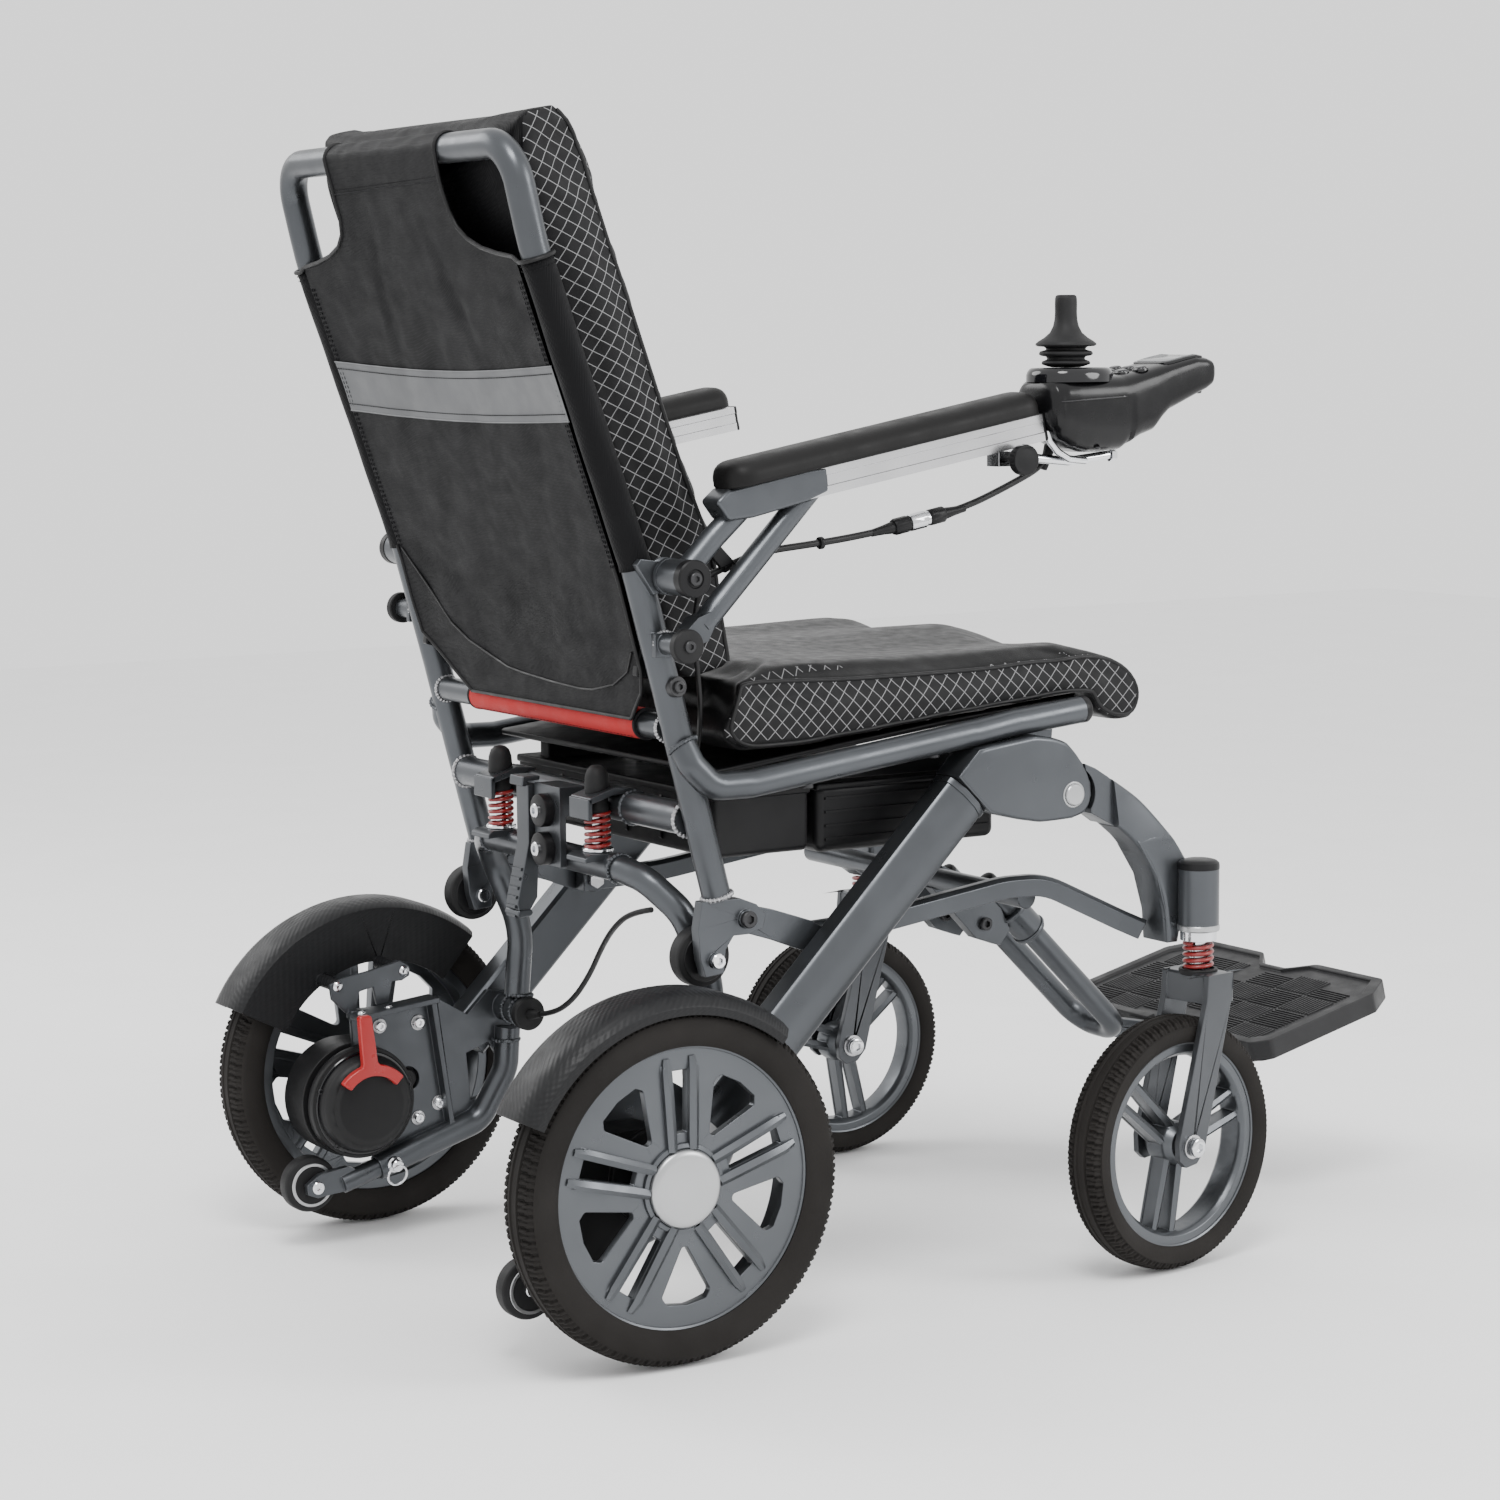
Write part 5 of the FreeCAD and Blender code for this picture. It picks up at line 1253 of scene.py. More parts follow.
lathe("cable_relief", [(0, 8), (5.4, 8), (5.6, 6), (5.2, 0), (4.6, -6), (4.2, -12), (3.7, -18), (3.2, -21), (0, -21)], (-239, -418.5, 742.2), (-0.02, -0.32, 0.95), "rubber", "controller", 24)
# knurled knob under the rail
kp = [(0, 0), (9.0, 0), (11.8, 1.0), (12.8, 2.2), (12.8, 7.4), (11.6, 9.0), (4, 9.6), (0, 9.6)]
lathe("rail_knob", kp, (CX - 22.8, -359, 733), (-1, 0, 0), "plastic", "controller_knob", 60, False, lambda i, a, r: r * (1 + (0.05 * (1 if sin(a * 10) > 0 else 0) if 1 < i < 6 else 0)))

# ------------------------------------------------------------------ cable connector, clips
con0, con1 = np.array([-239.8, -328.0, 691.6]), np.array([-240.0, -229.0, 673.0])
dc = (con0 - con1) / np.linalg.norm(con0 - con1)
mid = (con0 + con1) / 2
for sg in (1, -1):
    lathe("connector_%s" % ("a" if sg > 0 else "b"), [(0, 49), (3.2, 49), (3.5, 44), (4.2, 36), (5.0, 30), (5.0, 27), (6.4, 26.4), (6.9, 25), (6.9, 12), (6.2, 11), (6.2, 8), (0, 8)], mid, dc * sg, "plastic", "armrest_r", 28,
          False, lambda i, a, r: r * (1 + (0.05 * (1 if sin(a * 8) > 0 else 0) if 6 < i < 9 else 0)))
lathe("connector_ring", [(0, -9.5), (6.6, -9.5), (7.3, -8.5), (7.3, 5.5), (6.6, 6.5), (6.6, 9.5), (0, 9.5)], mid, dc, "chrome", "armrest_r", 28, False, lambda i, a, r: r * (1 + (0.04 * (1 if sin(a * 12) > 0 else 0) if 1 < i < 4 else 0)))


def clip(name, c, axis, r, body, w=6.0):
    lathe(name, [(r - 0.5, -w / 2), (r + 1.7, -w / 2), (r + 2.1, -w / 2 + 0.6), (r + 2.1, w / 2 - 0.6), (r + 1.7, w / 2), (r - 0.5, w / 2)], c, axis, "plastic", body, 24, True)


clip("cable_clip_a", (-239.3, -86, 652.0), (0, 0.85, -0.4), 3.2, "armrest_r", 8)
plate("cable_clip_a_foot", [(-92, 654), (-78, 650), (-62, 668), (-70, 676)], -246, -240.5, "plastic", "armrest_r", 0.0012)
clip("cable_clip_b", (-239.9, -179, 667), (0, 1, -0.06), 3.2, "armrest_r", 4)
clip("cable_clip_c", (-172, -93.2, 477), (0.4, -0.15, -0.9), 2.6, "seat_back", 5)
lathe("motor_relief", [(0, -10), (5.6, -10), (5.6, -2), (4.6, 5), (3.6, 12), (2.9, 18), (0, 18)], (151.5, -104, 209), (-0.98, 0, 0.15), "rubber", "rear_frame", 24)

# ------------------------------------------------------------------ castings: seat node, front arm, caps
node_pts = [(-315.2, 459.4), (-315.2, 459.4), (-326, 470), (-338.5, 482.2), (-338.5, 482.2), (-368, 486), (-398, 489.4), (-418, 486.6), (-432.5, 481.6), (-443, 471), (-449.8, 462), (-456.4, 451), (-459.4, 440), (-459.6, 430), (-456.8, 422), (-450.6, 416.2), (-438, 413.0), (-420, 412.4), (-404, 412.2),
            (-380, 416.6), (-362, 421.4), (-349.3, 424.8), (-349.3, 424.8)]
arm_outer = [(-482, 444.6), (-482, 444.6), (-498, 434.6), (-512.6, 424.6), (-527, 409.4), (-540.8, 393.4), (-551.6, 379), (-559.4, 366), (-562.4, 357), (-562.6, 350), (-560.6, 340), (-556.6, 330), (-552, 312), (-548.6, 294), (-548.6, 294)]
arm_inner = [(-536.6, 294), (-536.6, 294), (-535.6, 307), (-534.4, 320), (-530.6, 337), (-524.6, 353.6), (-514.6, 372), (-502.6, 387), (-493.6, 395.4), (-485, 402.2), (-485, 402.2)]
for s, t in ((-1, "r"), (1, "l")):
    x0, x1 = sorted((s * 210.4, s * 247.9))
    clean = [q for i, q in enumerate(node_pts) if i == 0 or q != node_pts[i - 1]]
    rounded_plate("seat_node_cast_" + t, clean, x0, x1, "frame", "rear_frame", 4.0)
    def even(pts, n=34):
        p = np.array([q for i, q in enumerate(pts) if i == 0 or q != pts[i - 1]], float)
        acc = np.concatenate([[0], np.cumsum(np.linalg.norm(np.diff(p, axis=0), axis=1))])
        tt = np.linspace(0, acc[-1], n)
        q = np.stack([np.interp(tt, acc, p[:, 0]), np.interp(tt, acc, p[:, 1])], 1)
        for _ in range(4):
            q[1:-1] = (q[:-2] + 2 * q[1:-1] + q[2:]) / 4
        return q
    qo, qi = even(arm_outer), even(arm_inner[::-1])
    v, f = [], []
    for o_, i_ in zip(qo, qi):
        c_, h_ = (o_ + i_) / 2, np.linalg.norm(o_ - i_) / 2 + 0.4
        e_ = (o_ - i_) / np.linalg.norm(o_ - i_)
        xm, xh = (220.6 + 250.4) / 2, (250.4 - 220.6) / 2
        r_ = min(4.6, h_ * 0.6)
        for cx, cy, a0 in ((1, 1, 0), (-1, 1, 90), (-1, -1, 180), (1, -1, 270)):
            for j in range(6):
                th = radians(a0 + 18 * j)
                u_, w_ = cx * (xh - r_) + r_ * cos(th), cy * (h_ - r_) + r_ * sin(th)
                zz_ = c_[1] + e_[1] * w_
                k_ = min(1.0, max(0.0, (434 - zz_) / 64.0))
                sh_ = 8.8 * k_ * k_ * (3 - 2 * k_) * max(0.0, (u_ + xh) / (2 * xh))
                v.append(P(s * (xm + u_ + sh_), c_[0] + e_[0] * w_, zz_))
    for i in range(len(qo) - 1):
        for j in range(24):
            f.append((i * 24 + j, i * 24 + (j + 1) % 24, (i + 1) * 24 + (j + 1) % 24, (i + 1) * 24 + j))
    f.append(tuple(range(23, -1, -1)))
    f.append(tuple((len(qo) - 1) * 24 + j for j in range(24)))
    finish_obj("front_arm_cast_" + t, v, f, "frame", "front_frame", True, 40)
    lathe("fold_cap_" + t, [(11.6, -0.6), (11.6, 0.5), (10.8, 1.0), (10.0, 0.9), (9.8, 0.4), (9.6, 2.3), (8.8, 3.2), (7.6, 3.4), (0, 3.1)], (s * 247.6, -439, 434.5), (s, 0, 0), "silver", "rear_frame", 48)
    # dark parting line where the casting meets the beam
    n_ = np.array([0, 0.7071, 0.7071])
    d_ = np.array([0, 0.7071, -0.7071])
    sec = [(210.2, -19.4), (210.2, 19.4), (213.6, 23.3), (236.2, 24.2), (240.6, 20.5), (245.8, 8.2), (245.8, -8.2), (240.6, -20.5), (236.2, -24.2), (213.6, -23.3)]
    for kk, (off, th, mat) in enumerate(((0.0, 1.0, "thread"), (1.2, 6.0, "frame"))):
        vs = []
        for e in (off, off + th):
            for a, b in sec:
                g = 1.012 if mat == "thread" else 1.018
                q = np.array([0, -332.5, 442.0]) + n_ * b * g + d_ * e
                vs.append(P(s * (228 + (a - 228) * g), q[1], q[2]))
        m = len(sec)
        fs = [tuple(range(m)), tuple(range(2 * m - 1, m - 1, -1))] + [(i, m + i, m + (i + 1) % m, (i + 1) % m) for i in range(m)]
        o = finish_obj("beam_joint_%d_%s" % (kk, t), vs, fs, mat, "rear_frame")
        bevel(o, 0.0005, 2, 30)
    # round eye bolts at the lower fold pivots
    bolt("rear_frame", "blackbolt", (s * 197.2, -430, 462), (-s, 0, 0), 9.5, 4.0)
    bolt("front_frame", "steel", (s * 177.5, -190, 326), (-s, 0, 0), 7.5, 4.0, "hex")

# ------------------------------------------------------------------ wheels: hub and axle details
for s, t in ((-1, "r"), (1, "l")):
    lathe("hub_cap_" + t, [(31.6, 0.0), (32.6, 0.2), (33.0, 1.6), (32.6, 3.4), (31.2, 5.0), (29.0, 6.0), (26.5, 6.5), (24.0, 6.45), (22, 6.7), (0, 6.9)], (s * 306.2, 0, 150), (s, 0, 0), "silver", "rear_wheel_" + t, 72)
    lathe("hub_ring_" + t, [(30.8, -3), (36.6, -3), (37.8, -1.6), (37.4, 0.6), (34.2, 1.6), (33.2, 1.0), (32.6, -0.6)], (s * 306.0, 0, 150), (s, 0, 0), "rim", "rear_wheel_" + t, 72)
    lathe("rim_lip_" + t, [(116.2, -0.4), (118.6, -0.6), (119.6, 0.4), (119.2, 2.0), (117.6, 2.6), (116.0, 1.8), (115.4, 0.6)], (s * 303.2, 0, 150), (s, 0, 0), "rim", "rear_wheel_" + t, 120, True)
    for sg in (-1, 1):
        st = 8.0 if t == "r" else 0.0
        c0 = Vector((-272, -561, 0))
        Rz = Matrix.Rotation(radians(st), 3, "Z")
        def rr(p):
            q = Vector(p)
            return tuple(c0 + Rz @ (q - c0)) if st else tuple(q)
        ax = tuple(Rz @ Vector((sg, 0, 0)))
        cpt = rr((s * 271.5 + sg * 33.8, -525, 115.5))
        bolt("fork_" + t, "chrome", cpt, ax, 8.4, 3.8, "socket")
        lathe("fork_washer_%s_%d" % (t, sg + 1), [(0, -1.2), (10.6, -1.2), (11, -0.6), (11, 0.9), (10.4, 1.4), (0, 1.4)], rr((s * 271.5 + sg * 29.4, -525, 115.5)), ax, "steel", "fork_" + t, 32)
        lathe("front_lip_%s_%d" % (t, sg + 1), [(91.4, -0.6), (93.4, -0.8), (94.4, 0.2), (94.0, 1.6), (92.4, 2.0), (91.0, 1.2)], rr((s * 271.5 + sg * 14.4, -525, 115.5)), ax, "rim", "front_wheel_" + t, 96, True)

# ------------------------------------------------------------------ motors, brackets, anti-tip
my, mz = 51.0, 136.0
for s, t in ((-1, "r"), (1, "l")):
    o_ = (-s, 0, 0)
    lathe("motor_cap_" + t, [(0, 1.4), (31, 1.4), (33.5, 1.0), (34.5, 0.2), (37.4, -0.4), (40.6, -2.2), (43.2, -4.6), (45.2, -8), (46.3, -12), (46.3, -15)], (s * 176.6, my, mz), o_, "motor", "rear_frame", 72)
    lathe("motor_rim_" + t, [(49.4, 0), (51.8, -0.6), (52.6, -2.4), (52.6, -9.4), (51.4, -11.2), (50.0, -11.6)], (s * 192.4, my, mz), o_, "motor", "rear_frame", 72)
    lathe("motor_step_" + t, [(45.6, 1.2), (48.2, 1.0), (49.0, 0.2), (49.0, -1.6)], (s * 191.6, my, mz), o_, "gloss", "rear_frame", 72)
    for ang in (20, 92, 164, 236, 308):
        a = radians(ang)
        bolt("rear_frame", "blackbolt", (s * 191.4, my + 47.2 * cos(a), mz + 47.2 * sin(a)), o_, 2.6, 1.8)
    for yy, zz, r_ in ((-12, 203, 5.0), (-32, 124, 5.0), (28, 204, 4.6), (-10, 112, 4.6)):
        lathe("bracket_washer_%s_%d" % (t, int(yy)), [(0, 0), (r_ + 2.0, 0), (r_ + 2.3, 0.4), (r_ + 2.3, 1.0), (r_ + 1.8, 1.3), (0, 1.3)], (s * 204.4, yy, zz), o_, "steel", "rear_frame", 28)
        bolt("rear_frame", "chrome", (s * 203.2, yy, zz), o_, r_, 3.4)
    for yy, zz in ((66, 244), (-2, 252)):
        bolt("rear_frame", "chrome", (s * 211.8, yy, zz), o_, 5.2, 3.0, "dome")
    for yy, zz in ((50, 219.5), (22, 221.5)):
        bolt("rear_frame", "chrome", (s * 196, yy, zz), (0, 0.1, 1), 4.2, 3.0, "dome")
    # foot pivot cap and weld beads
    lathe("foot_cap_" + t, [(0, 4.2), (9, 4.0), (14.6, 3.0), (15.8, 1.6), (15.9, -4.5), (14.8, -5.4), (13.2, -5.6)], (s * 156.0, -104, 209), o_, "rubber", "rear_frame", 48)
    bead("rear_frame", "frame", (s * 170, -104, 209), (1, 0, 0), 13.4, 1.8)
    bead("rear_frame", "frame", (s * 186, -104, 209), (1, 0, 0), 13.4, 1.8)
    bead("rear_frame", "frame", (s * 173.6, -103, 225), (0, -0.09, 1), 12.4, 1.8)
    bead("rear_frame", "frame", (s * 199, -101.5, 178), (0, 0, 1), 12.6, 1.7)
    sl = [(-62, 170), (-76, 178), (-88, 177), (-98, 160), (-92, 145), (-81, 125), (-66, 120.5)]
    # lever detail
    lv = [(my + 39.5 * cos(radians(a_)), mz + 39.5 * sin(radians(a_))) for a_ in range(38, 76, 4)]
    lv += [(my + 10.4, mz + 41.5), (my + 12.0, mz + 62), (my + 13.4, mz + 84.0), (my + 12.2, mz + 86.2), (my + 2.4, mz + 86.2), (my + 1.0, mz + 84.4), (my - 2.0, mz + 62), (my - 4.4, mz + 42.0)]
    lv += [(my + 39.8 * cos(radians(a_)), mz + 39.8 * sin(radians(a_))) for a_ in range(100, 143, 4)]
    lv += [(my + 29.0 * cos(radians(a_)), mz + 29.0 * sin(radians(a_))) for a_ in range(142, 37, -4)]
    o = plate("brake_tab_" + t, lv, *sorted((s * 168.6, s * 176.9)), "red", "brake_lever_" + t, 0.0014)
    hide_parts("brake_lever_" + t)
    # anti-tip: white rings, dark centre and bolts
    yw, zw = 99.0, 61.5
    lathe("anti_ring_" + t, [(17.6, 0.0), (17.8, 0.9), (20.2, 1.1), (20.6, 0.1)], (s * 205.8, yw, zw), o_, "silver", "anti_tip_wheel_" + t, 48, True)
    lathe("anti_centre_" + t, [(5.2, 0.0), (5.2, 0.6), (17.4, 0.6), (17.4, 0.0)], (s * 205.8, yw, zw), o_, "rubber", "anti_tip_wheel_" + t, 48, True)
    lathe("anti_ring_out_" + t, [(17.6, 0.0), (17.8, 0.9), (20.2, 1.1), (20.6, 0.1)], (s * 225.2, yw, zw), (s, 0, 0), "silver", "anti_tip_wheel_" + t, 48, True)
    bolt("anti_tip_" + t, "chrome", (s * 195.2, yw, zw), o_, 6.0, 4.2)
    bolt("anti_tip_" + t, "chrome", (s * 222.8, yw, zw), (s, 0, 0), 6.0, 4.4)
    # release pin and its ring on the socket tube
    lathe("pull_pin_" + t, [(0, 9), (4.6, 9), (5.6, 8), (5.8, 3), (7.4, 2), (7.6, -1), (0, -1)], (s * 186.6, 24, 75.2), o_, "chrome", "rear_frame", 28)
    ringp = [(s * 180.6 - s * 3 * sin(radians(a)), 24 + 9.5 * cos(radians(a)), 66 + 9.5 * sin(radians(a))) for a in range(0, 361, 12)]
    sweep("pull_ring_" + t, ringp, 1.1, "chrome", "rear_frame", 8)
    for ex, rr_ in ((s * 256.5, 0), (s * 316.0, 0)):
        pass
    # rings on both faces of the post rollers
    lathe("post_roller_ring_" + t, [(9.5, 0), (9.8, 0.8), (20.4, 0.8), (21, 0)], ((-196 - 10.2) if t == "r" else (227 + 10.2), -82, 318), (-1, 0, 0) if t == "r" else (1, 0, 0), "plastic", "post_roller_" + t, 40, True)
    lathe("post_roller_ring2_" + t, [(9.5, 0), (9.8, 0.8), (20.4, 0.8), (21, 0)], ((-196 + 10.2) if t == "r" else (227 - 10.2), -82, 318), (1, 0, 0) if t == "r" else (-1, 0, 0), "plastic", "post_roller_" + t, 40, True)
bolt("seat_back", "chrome", (-225.4, -82, 318), (-1, 0, 0), 6.6, 4.2)
bolt("seat_back", "chrome", (203.2, -82, 318), (-1, 0, 0), 6.6, 4.2)
bolt("seat_back", "blackbolt", (-225.4, -113, 350.5), (-1, 0, 0), 7.4, 4.0)
bolt("seat_back", "blackbolt", (217.2, -113, 350.5), (1, 0, 0), 7.4, 4.0)

# ------------------------------------------------------------------ welds and joints on the back frame
for s in (-1, 1):
    dpost = (0, 0.26, 0.966)
    bead("seat_back", "weld", (s * 203.6, -49, 516), (1, 0, 0), 11.6, 1.7)
    bead("seat_back", "weld", (s * 203.2, -68, 437), (1, 0, 0), 14.4, 1.9)
    bead("seat_back", "frame", (s * 220.5, -54, 502), (s * 0.5, -0.3, -0.8), 12.6, 1.7)
    bead("seat_back", "weld", (s * 215, -88.5, 371.5), (0, 0.26, 0.966), 12.8, 2.0)
    bead("rear_frame", "frame", (s * 118, -50, 386), (1, 0, 0.1), 12.4, 1.7)
    # end plugs of the seat tubes
    lathe("seat_tube_plug_%s" % ("r" if s < 0 else "l"), [(0, 4.6), (7.5, 4.2), (10.8, 2.8), (12.2, 0.6), (12.2, -4), (11, -4.6)], (s * 231, -462, 508), (0, -0.995, 0.097), "plastic", "seat_back", 40)
    bolt("seat_back", "blackbolt", (s * 231, -300, 479.0), (0, 0, -1), 5.0, 3.4)
    bolt("seat_back", "blackbolt", (s * 231, -170, 462.2), (0, 0, -1), 5.0, 3.4)
    # shock brackets: folded sheet over the cross tube
    for k, (yy, zz) in enumerate(((-60, 447), (-44, 434))):
        pass
    v_ = [(-72, 453), (-52, 455), (-28, 447.5), (-26, 444.5), (-28, 441.5), (-50, 448), (-70, 449.6)]
    x0, x1 = sorted((s * 73, s * 107))
    plate("shock_bracket_%s" % ("r" if s < 0 else "l"), v_, x0, x1, "frame", "seat_back", 0.0010)
    v_ = [(-30, 447), (-25.5, 446), (-25.5, 428), (-28.6, 427), (-30.2, 430)]
    plate("shock_bracket_lip_%s" % ("r" if s < 0 else "l"), v_, x0, x1, "frame", "seat_back", 0.0008)
    # lower plates from the arch up to the springs
    v_ = [(-56, 397.6), (-28, 398.4), (-22, 395.0), (-22, 391), (-30, 391.8), (-56, 393.4)]
    plate("spring_seat_%s" % ("r" if s < 0 else "l"), v_, x0, x1, "frame", "rear_frame", 0.0009)
    bead("seat_back", "frame", (s * 112, -68, 437), (1, 0, 0), 14.3, 1.6)
# latch: round plates with socket bolts
for zz in (428, 394):
    lathe("latch_disc_%d" % zz, [(0, 2.2), (12.6, 2.2), (14.4, 1.4), (14.8, 0), (14.8, -7.0), (13.8, -8.2)], (-22, -23.6, zz), (0, 1, 0), "plastic", "seat_back", 48)
    bolt("seat_back", "chrome", (-22, -21.6, zz), (0, 1, 0), 6.4, 4.0)
# pedal: ribs and edge flange
for k in range(6):
    z0 = 372 - 8.2 * k
    yb = float(np.interp(z0, [342, 396], [-14, -26]))
    vs, fs = plate_data([(yb + 0.1 - 0.9, z0 - 1.8), (yb + 1.6 + 0.0, z0 - 1.1), (yb + 1.4, z0 + 1.1), (yb - 0.9, z0 + 1.8)], 6.5, 22.5)
    Batch.get("latch_pedal", "frame").add((vs, fs))
plate("pedal_top", [(-38, 455.5), (-20.5, 455.5), (-19.6, 447), (-24.4, 446.4), (-25.2, 451.2), (-37.5, 451.4)], 2.2, 26.8, "frame", "latch_pedal", 0.0012)
plate("pedal_foot", [(-27.4, 336.4), (-14.4, 336.4), (-12.6, 332), (-15, 329.4), (-27, 330.4), (-29, 333)], 1.6, 27.4, "frame", "latch_pedal", 0.0014)

# ------------------------------------------------------------------ under-seat boxes
for x in (-177.6, 177.6):
    sgn = -1 if x < 0 else 1
    for zz in (404, 416, 428, 440):
        vs, fs = plate_data([(-396, zz - 1.1), (-396, zz + 1.1), (-222, zz + 1.1), (-222, zz - 1.1)], *sorted((x - sgn * 1.0, x + sgn * 0.9)))
        Batch.get("battery", "plastic").add((vs, fs))
plate("battery_handle", [(-404.0, 438), (-411, 436), (-412.5, 428), (-411, 420), (-404.0, 418)], -46, 46, "plastic", "battery", 0.0025, 4)
plate("battery_lid", [(-404.8, 447), (-404.8, 453.4), (-213.2, 453.4), (-213.2, 447)], -178.4, 178.4, "plastic", "battery", 0.0025, 4)
plate("control_lid", [(-206.8, 446), (-206.8, 453.2), (-107.2, 453.2), (-107.2, 446)], -179, 179, "plastic", "seat_back", 0.0022, 4)
for xx in (-150, -90, -30, 30, 90, 150):
    vs, fs = plate_data([(-107.6, 404), (-105.8, 406), (-105.8, 440), (-107.6, 443)], xx - 2, xx + 2)
    Batch.get("seat_back", "plastic").add((vs, fs))
for xx, zz in ((-160, 402), (160, 402), (-160, 440), (160, 440)):
    bolt("seat_back", "blackbolt", (xx, -107.6, zz), (0, 1, 0), 3.4, 2.0, "dome")
lathe("cable_gland", [(0, 8), (4.4, 8), (5.4, 6.5), (5.6, 3), (8, 2.6), (8.2, -1), (0, -1)], (-146.5, -108.2, 440), (-0.1, 1, 0.1), "plastic", "seat_back", 24)

# ------------------------------------------------------------------ footrest
LEG = 33.0
kc = (LEG, -497.0 - 0.7071 * 56, 323.0 - 0.7071 * 56)
lathe("leg_knob", [(0, 13.6), (9.5, 13.6), (13.2, 12.2), (14.9, 9.2), (14.9, 4.6), (13.4, 1.4), (9.0, 0), (6.2, -0.6), (6.2, -6)], (LEG - 22, kc[1], kc[2]), (-1, 0, 0), "plastic", "footrest_knob", 60, False, lambda i, a, r: r * (1 + (0.05 * sin(a * 9) if 1 < i < 6 else 0)))
for sg in (-1, 1):
    lathe("leg_cap_%d" % (sg + 1), [(0, 5.4), (6.4, 5.0), (9.6, 3.6), (10.8, 1.4), (10.8, -0.4), (9, -1.0)], (sg * LEG, -497, 323), (0, 0.7071, 0.7071), "plastic", "footrest", 40)
    for dd in (40, 70):
        cc = (sg * LEG, -497 - 0.7071 * dd, 323 - 0.7071 * dd)
        lathe("clamp_lip_%d_%d" % (sg + 1, dd), [(11.8, -1.6), (16.9, -1.6), (17.4, -0.8), (17.4, 0.8), (16.9, 1.6), (11.8, 1.6)], cc, (0, 0.7071, 0.7071), "frame", "front_frame", 40, True)
    for yy, zz in ((-452, 322), (-490, 285)):
        bolt("front_frame", "blackbolt", (sg * LEG + 7, yy, zz), (1, 0, 0), 6.4, 4.6)
        bolt("front_frame", "blackbolt", (sg * LEG - 7, yy, zz), (-1, 0, 0), 6.4, 4.6)
d_ = np.array([0, -0.97155, 0.23684])
n_ = np.array([0, 0.23684, 0.97155])
o0 = np.array([0, -729.0, 142.0])
px_, py_ = 47.0, 38.0
for ci in range(6):
    for ri in range(4):
        xc, sc = (ci - 2.5) * px_, 23 + ri * py_
        if sc > 165:
            continue
        along = (ci + ri) % 2
        cnt = 9 if along else 11
        for k in range(cnt):
            if along:
                xa, xb = xc - px_ / 2 + 2, xc + px_ / 2 - 2
                s0 = sc - py_ / 2 + 2.2 + k * (py_ - 4.4) / (cnt - 1) - 0.95
                quad = (xa, xb, s0, s0 + 1.9)
            else:
                x0 = xc - px_ / 2 + 2.2 + k * (px_ - 4.4) / (cnt - 1) - 0.95
                quad = (x0, x0 + 1.9, sc - py_ / 2 + 2, sc + py_ / 2 - 2)
            xa, xb, sa, sb = quad
            lim = 166 if abs((xa + xb) / 2) > 30 else 148
            if (sb > lim) or (abs(xb) > 148 or abs(xa) > 148) or (sb > 140 and max(abs(xa), abs(xb)) > 132) or (sa < 22 and min(abs(xa), abs(xb)) < 14) or (sa < 18 and min(abs(xa), abs(xb)) < 44):
                continue
            vs = []
            for h, ins in ((16.4, 0), (18.3, 0.35)):
                for x, q in ((xa + ins, sa + ins), (xb - ins, sa + ins), (xb - ins, sb - ins), (xa + ins, sb - ins)):
                    vs.append(P(*(o0 + np.array([x, 0, 0]) + d_ * q + n_ * h)))
            Batch.get("footplate", "footplate").add((vs, [(4, 5, 6, 7), (0, 1, 5, 4), (1, 2, 6, 5), (2, 3, 7, 6), (3, 0, 4, 7)]))

# ------------------------------------------------------------------ spoke relief
def ridge(body, frame_fn, secs):
    """Roof-shaped rib: secs are (r, inner q, outer q, base h, edge h, crest h)."""
    v, f = [], []
    for r, q0, q1, hb, he, hc in secs:
        for q, h in ((q0, hb), (q0, he), (q0 * 0.45 + q1 * 0.55, hc), (q1, he), (q1, hb)):
            v.append(P(*frame_fn(r, q, h)))
    m = len(secs)
    for i in range(m - 1):
        for j in range(4):
            f.append((i * 5 + j, i * 5 + j + 1, (i + 1) * 5 + j + 1, (i + 1) * 5 + j))
    f.append((4, 3, 2, 1, 0))
    f.append(tuple((m - 1) * 5 + j for j in range(5)))
    Batch.get(body, "rim").add((v, f))


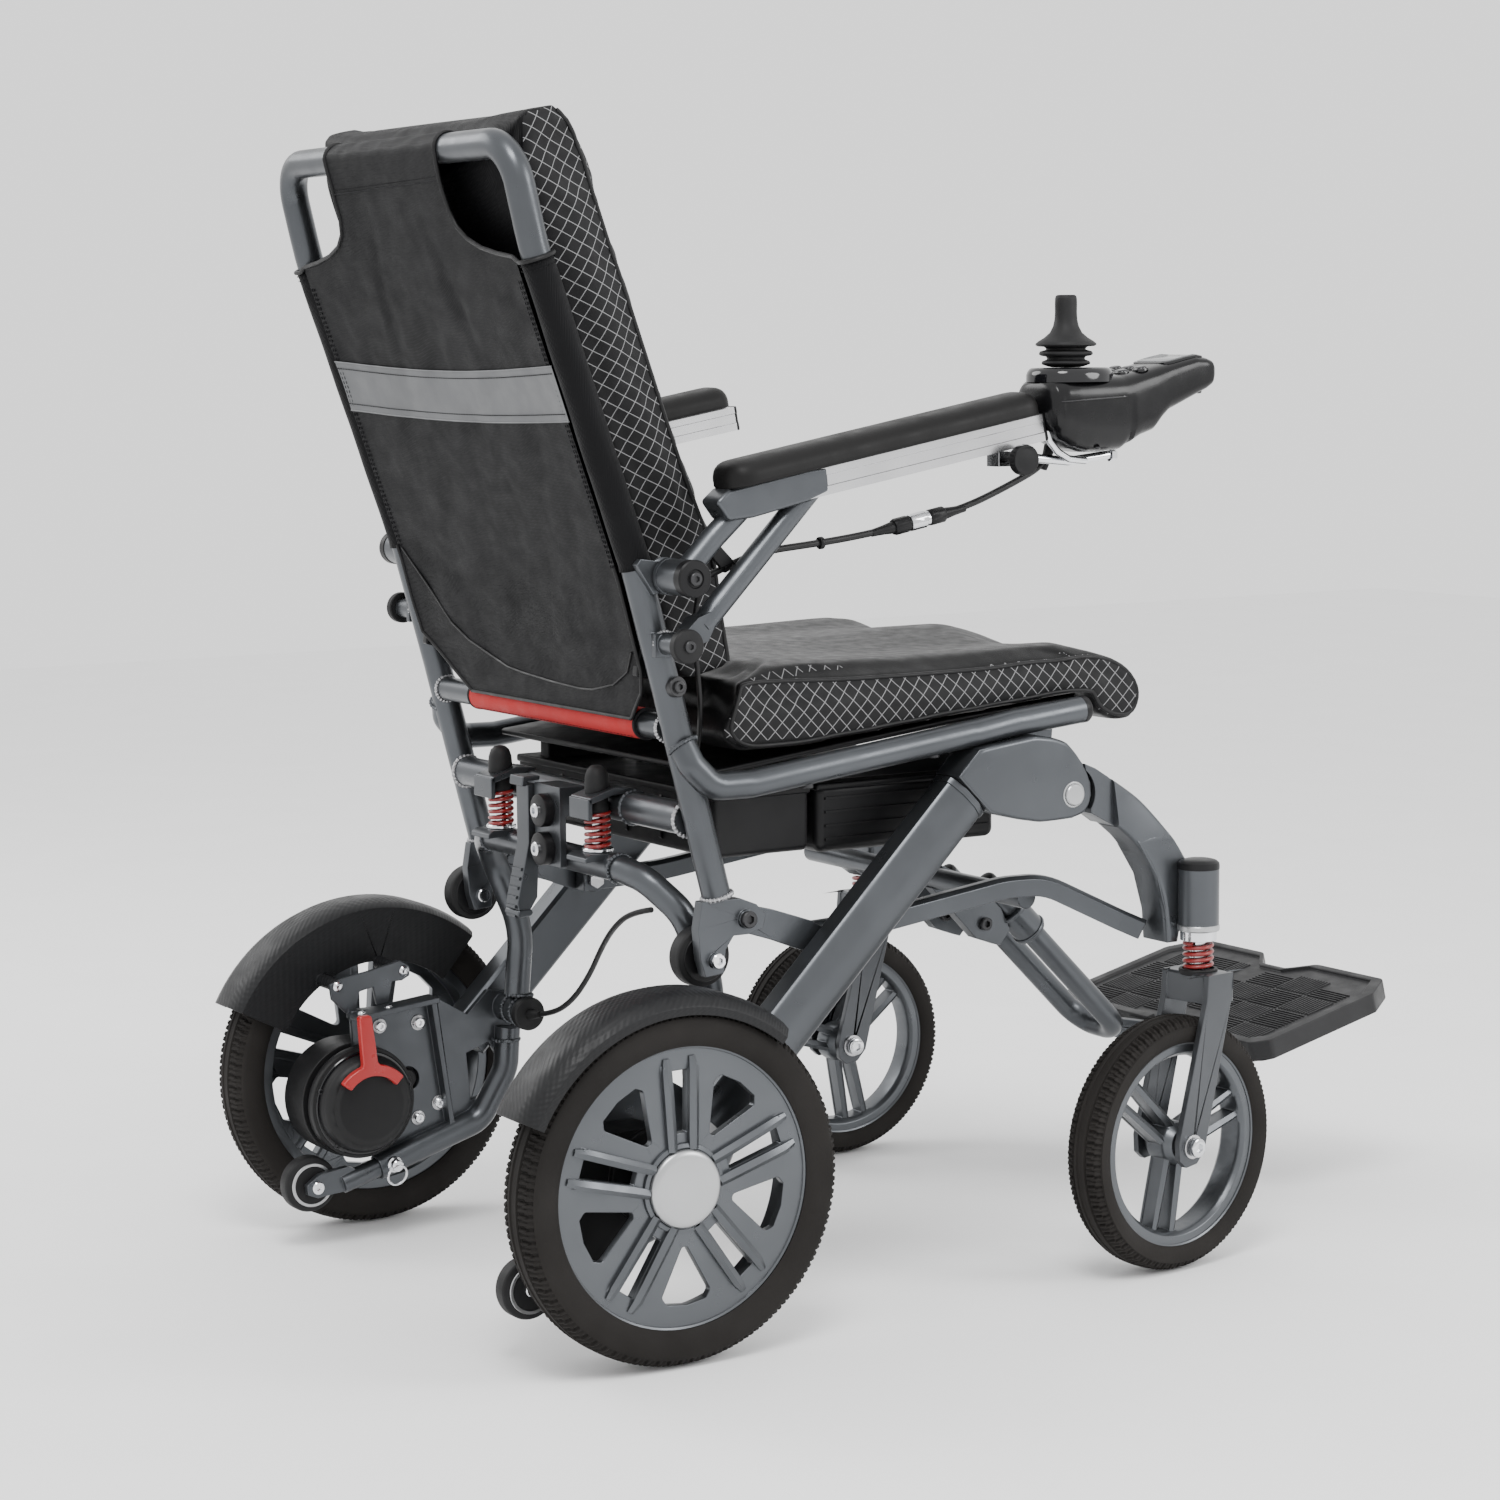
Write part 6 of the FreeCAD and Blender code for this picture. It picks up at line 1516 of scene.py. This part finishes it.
for s, t in ((-1, "r"), (1, "l")):
    base = 16.5 if s < 0 else 163.5
    for k in range(5):
        a = radians(base + 72 * k)
        for sg in (-1, 1):
            def place(r, q, h, a=a, sg=sg, s=s):
                return (s * h, r * cos(a) - sg * q * sin(a), 150 + r * sin(a) + sg * q * cos(a))
            ridge("rear_wheel_" + t, place, [(32, 5.9, 14.0, 303.4, 307.8, 310.6), (46, 5.9, 14.8, 303.4, 307.9, 311.2), (80, 7.5, 16.2, 303.4, 307.9, 310.6), (98, 8.3, 17.0, 303.4, 307.7, 309.4), (109, 9.4, 15.0, 303.4, 305.4, 306.4)])
    base = 41.5 if s < 0 else 138.5
    st = radians(8.0 if t == "r" else 0.0)
    for k in range(3):
        a = radians(base + 120 * k)
        for sg in (-1, 1):
            for face in (-1, 1):
                def place(r, q, h, a=a, sg=sg, face=face, s=s, st=st):
                    x, y, z = s * 271.5 + face * h, -525 + r * cos(a) - sg * q * sin(a), 115.5 + r * sin(a) + sg * q * cos(a)
                    if st:
                        dx, dy = x + 272, y + 561
                        x, y = -272 + dx * cos(st) - dy * sin(st), -561 + dx * sin(st) + dy * cos(st)
                    return (x, y, z)
                ridge("front_wheel_" + t, place, [(15, 4.2, 12.4, 6, 8.4, 11.0), (40, 5.6, 13.4, 6, 8.4, 11.4), (72, 7.6, 14.6, 6, 8.3, 10.4), (86, 8.5, 14.6, 6, 8.1, 9.2)])
sweep("box_rod", [(-264.5, -397, 757), (-264.5, -399.5, 748), (-264.5, -408, 738.5), (-264.5, -420, 732), (-262, -440, 729.8)], 3.3, "chrome", "controller", 14)

# ------------------------------------------------------------------ stage and light
def stage():
    me = bpy.data.meshes.new("floor")
    n = 24
    me.from_pydata([((i / n - 0.5) * 12, (j / n - 0.5) * 12, 0.0) for i in range(n + 1) for j in range(n + 1)], [], [(i * (n + 1) + j, (i + 1) * (n + 1) + j, (i + 1) * (n + 1) + j + 1, i * (n + 1) + j + 1) for i in range(n) for j in range(n)])
    fl = bpy.data.objects.new("floor", me)
    coll.objects.link(fl)
    fl.location.z = -0.0005
    me.materials.append(Mat("floor_paper", (0.93, 0.93, 0.93), 0.85, 0.0, 0.05, 8, 0.02, 0.0003, cvar=0.01).m)
    w = bpy.data.worlds.new("world")
    scn.world = w
    w.use_nodes = True
    w.node_tree.nodes["Background"].inputs[0].default_value = (1.0, 1.0, 1.0, 1)
    w.node_tree.nodes["Background"].inputs[1].default_value = 1.45
    def area(name, loc, size, power, target=(0, 0, 0.45)):
        ld = bpy.data.lights.new(name, "AREA")
        ld.shape, ld.size, ld.energy = "DISK", size, power
        lo = bpy.data.objects.new(name, ld)
        coll.objects.link(lo)
        lo.location = loc
        lo.rotation_euler = (Vector(target) - Vector(loc)).to_track_quat("-Z", "Y").to_euler()
    area("key", (-1.6, 1.2, 3.2), 1.3, 70)
    area("side", (-2.4, -1.8, 1.8), 1.4, 45)
    area("back", (2.2, 1.6, 2.2), 1.6, 35)


for n, (body, dia, pts) in CORDS.items():
    cu = bpy.data.curves.new(n + "_line", "CURVE")
    cu.dimensions = "3D"
    cu.bevel_depth = dia / 2000.0
    cu.bevel_resolution = 4
    cu.use_fill_caps = True
    cu.resolution_u = 24
    sp = cu.splines.new("NURBS")
    sp.points.add(len(pts) - 1)
    for i, q in enumerate(pts):
        sp.points[i].co = (*P(*q), 1)
    sp.order_u = 3
    sp.use_endpoint_u = True
    co = bpy.data.objects.new(n + "_line", cu)
    coll.objects.link(co)
    cu.materials.append(M["cable"].m)
    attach(co, body)
    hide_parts(n)

close_batches()
stage()
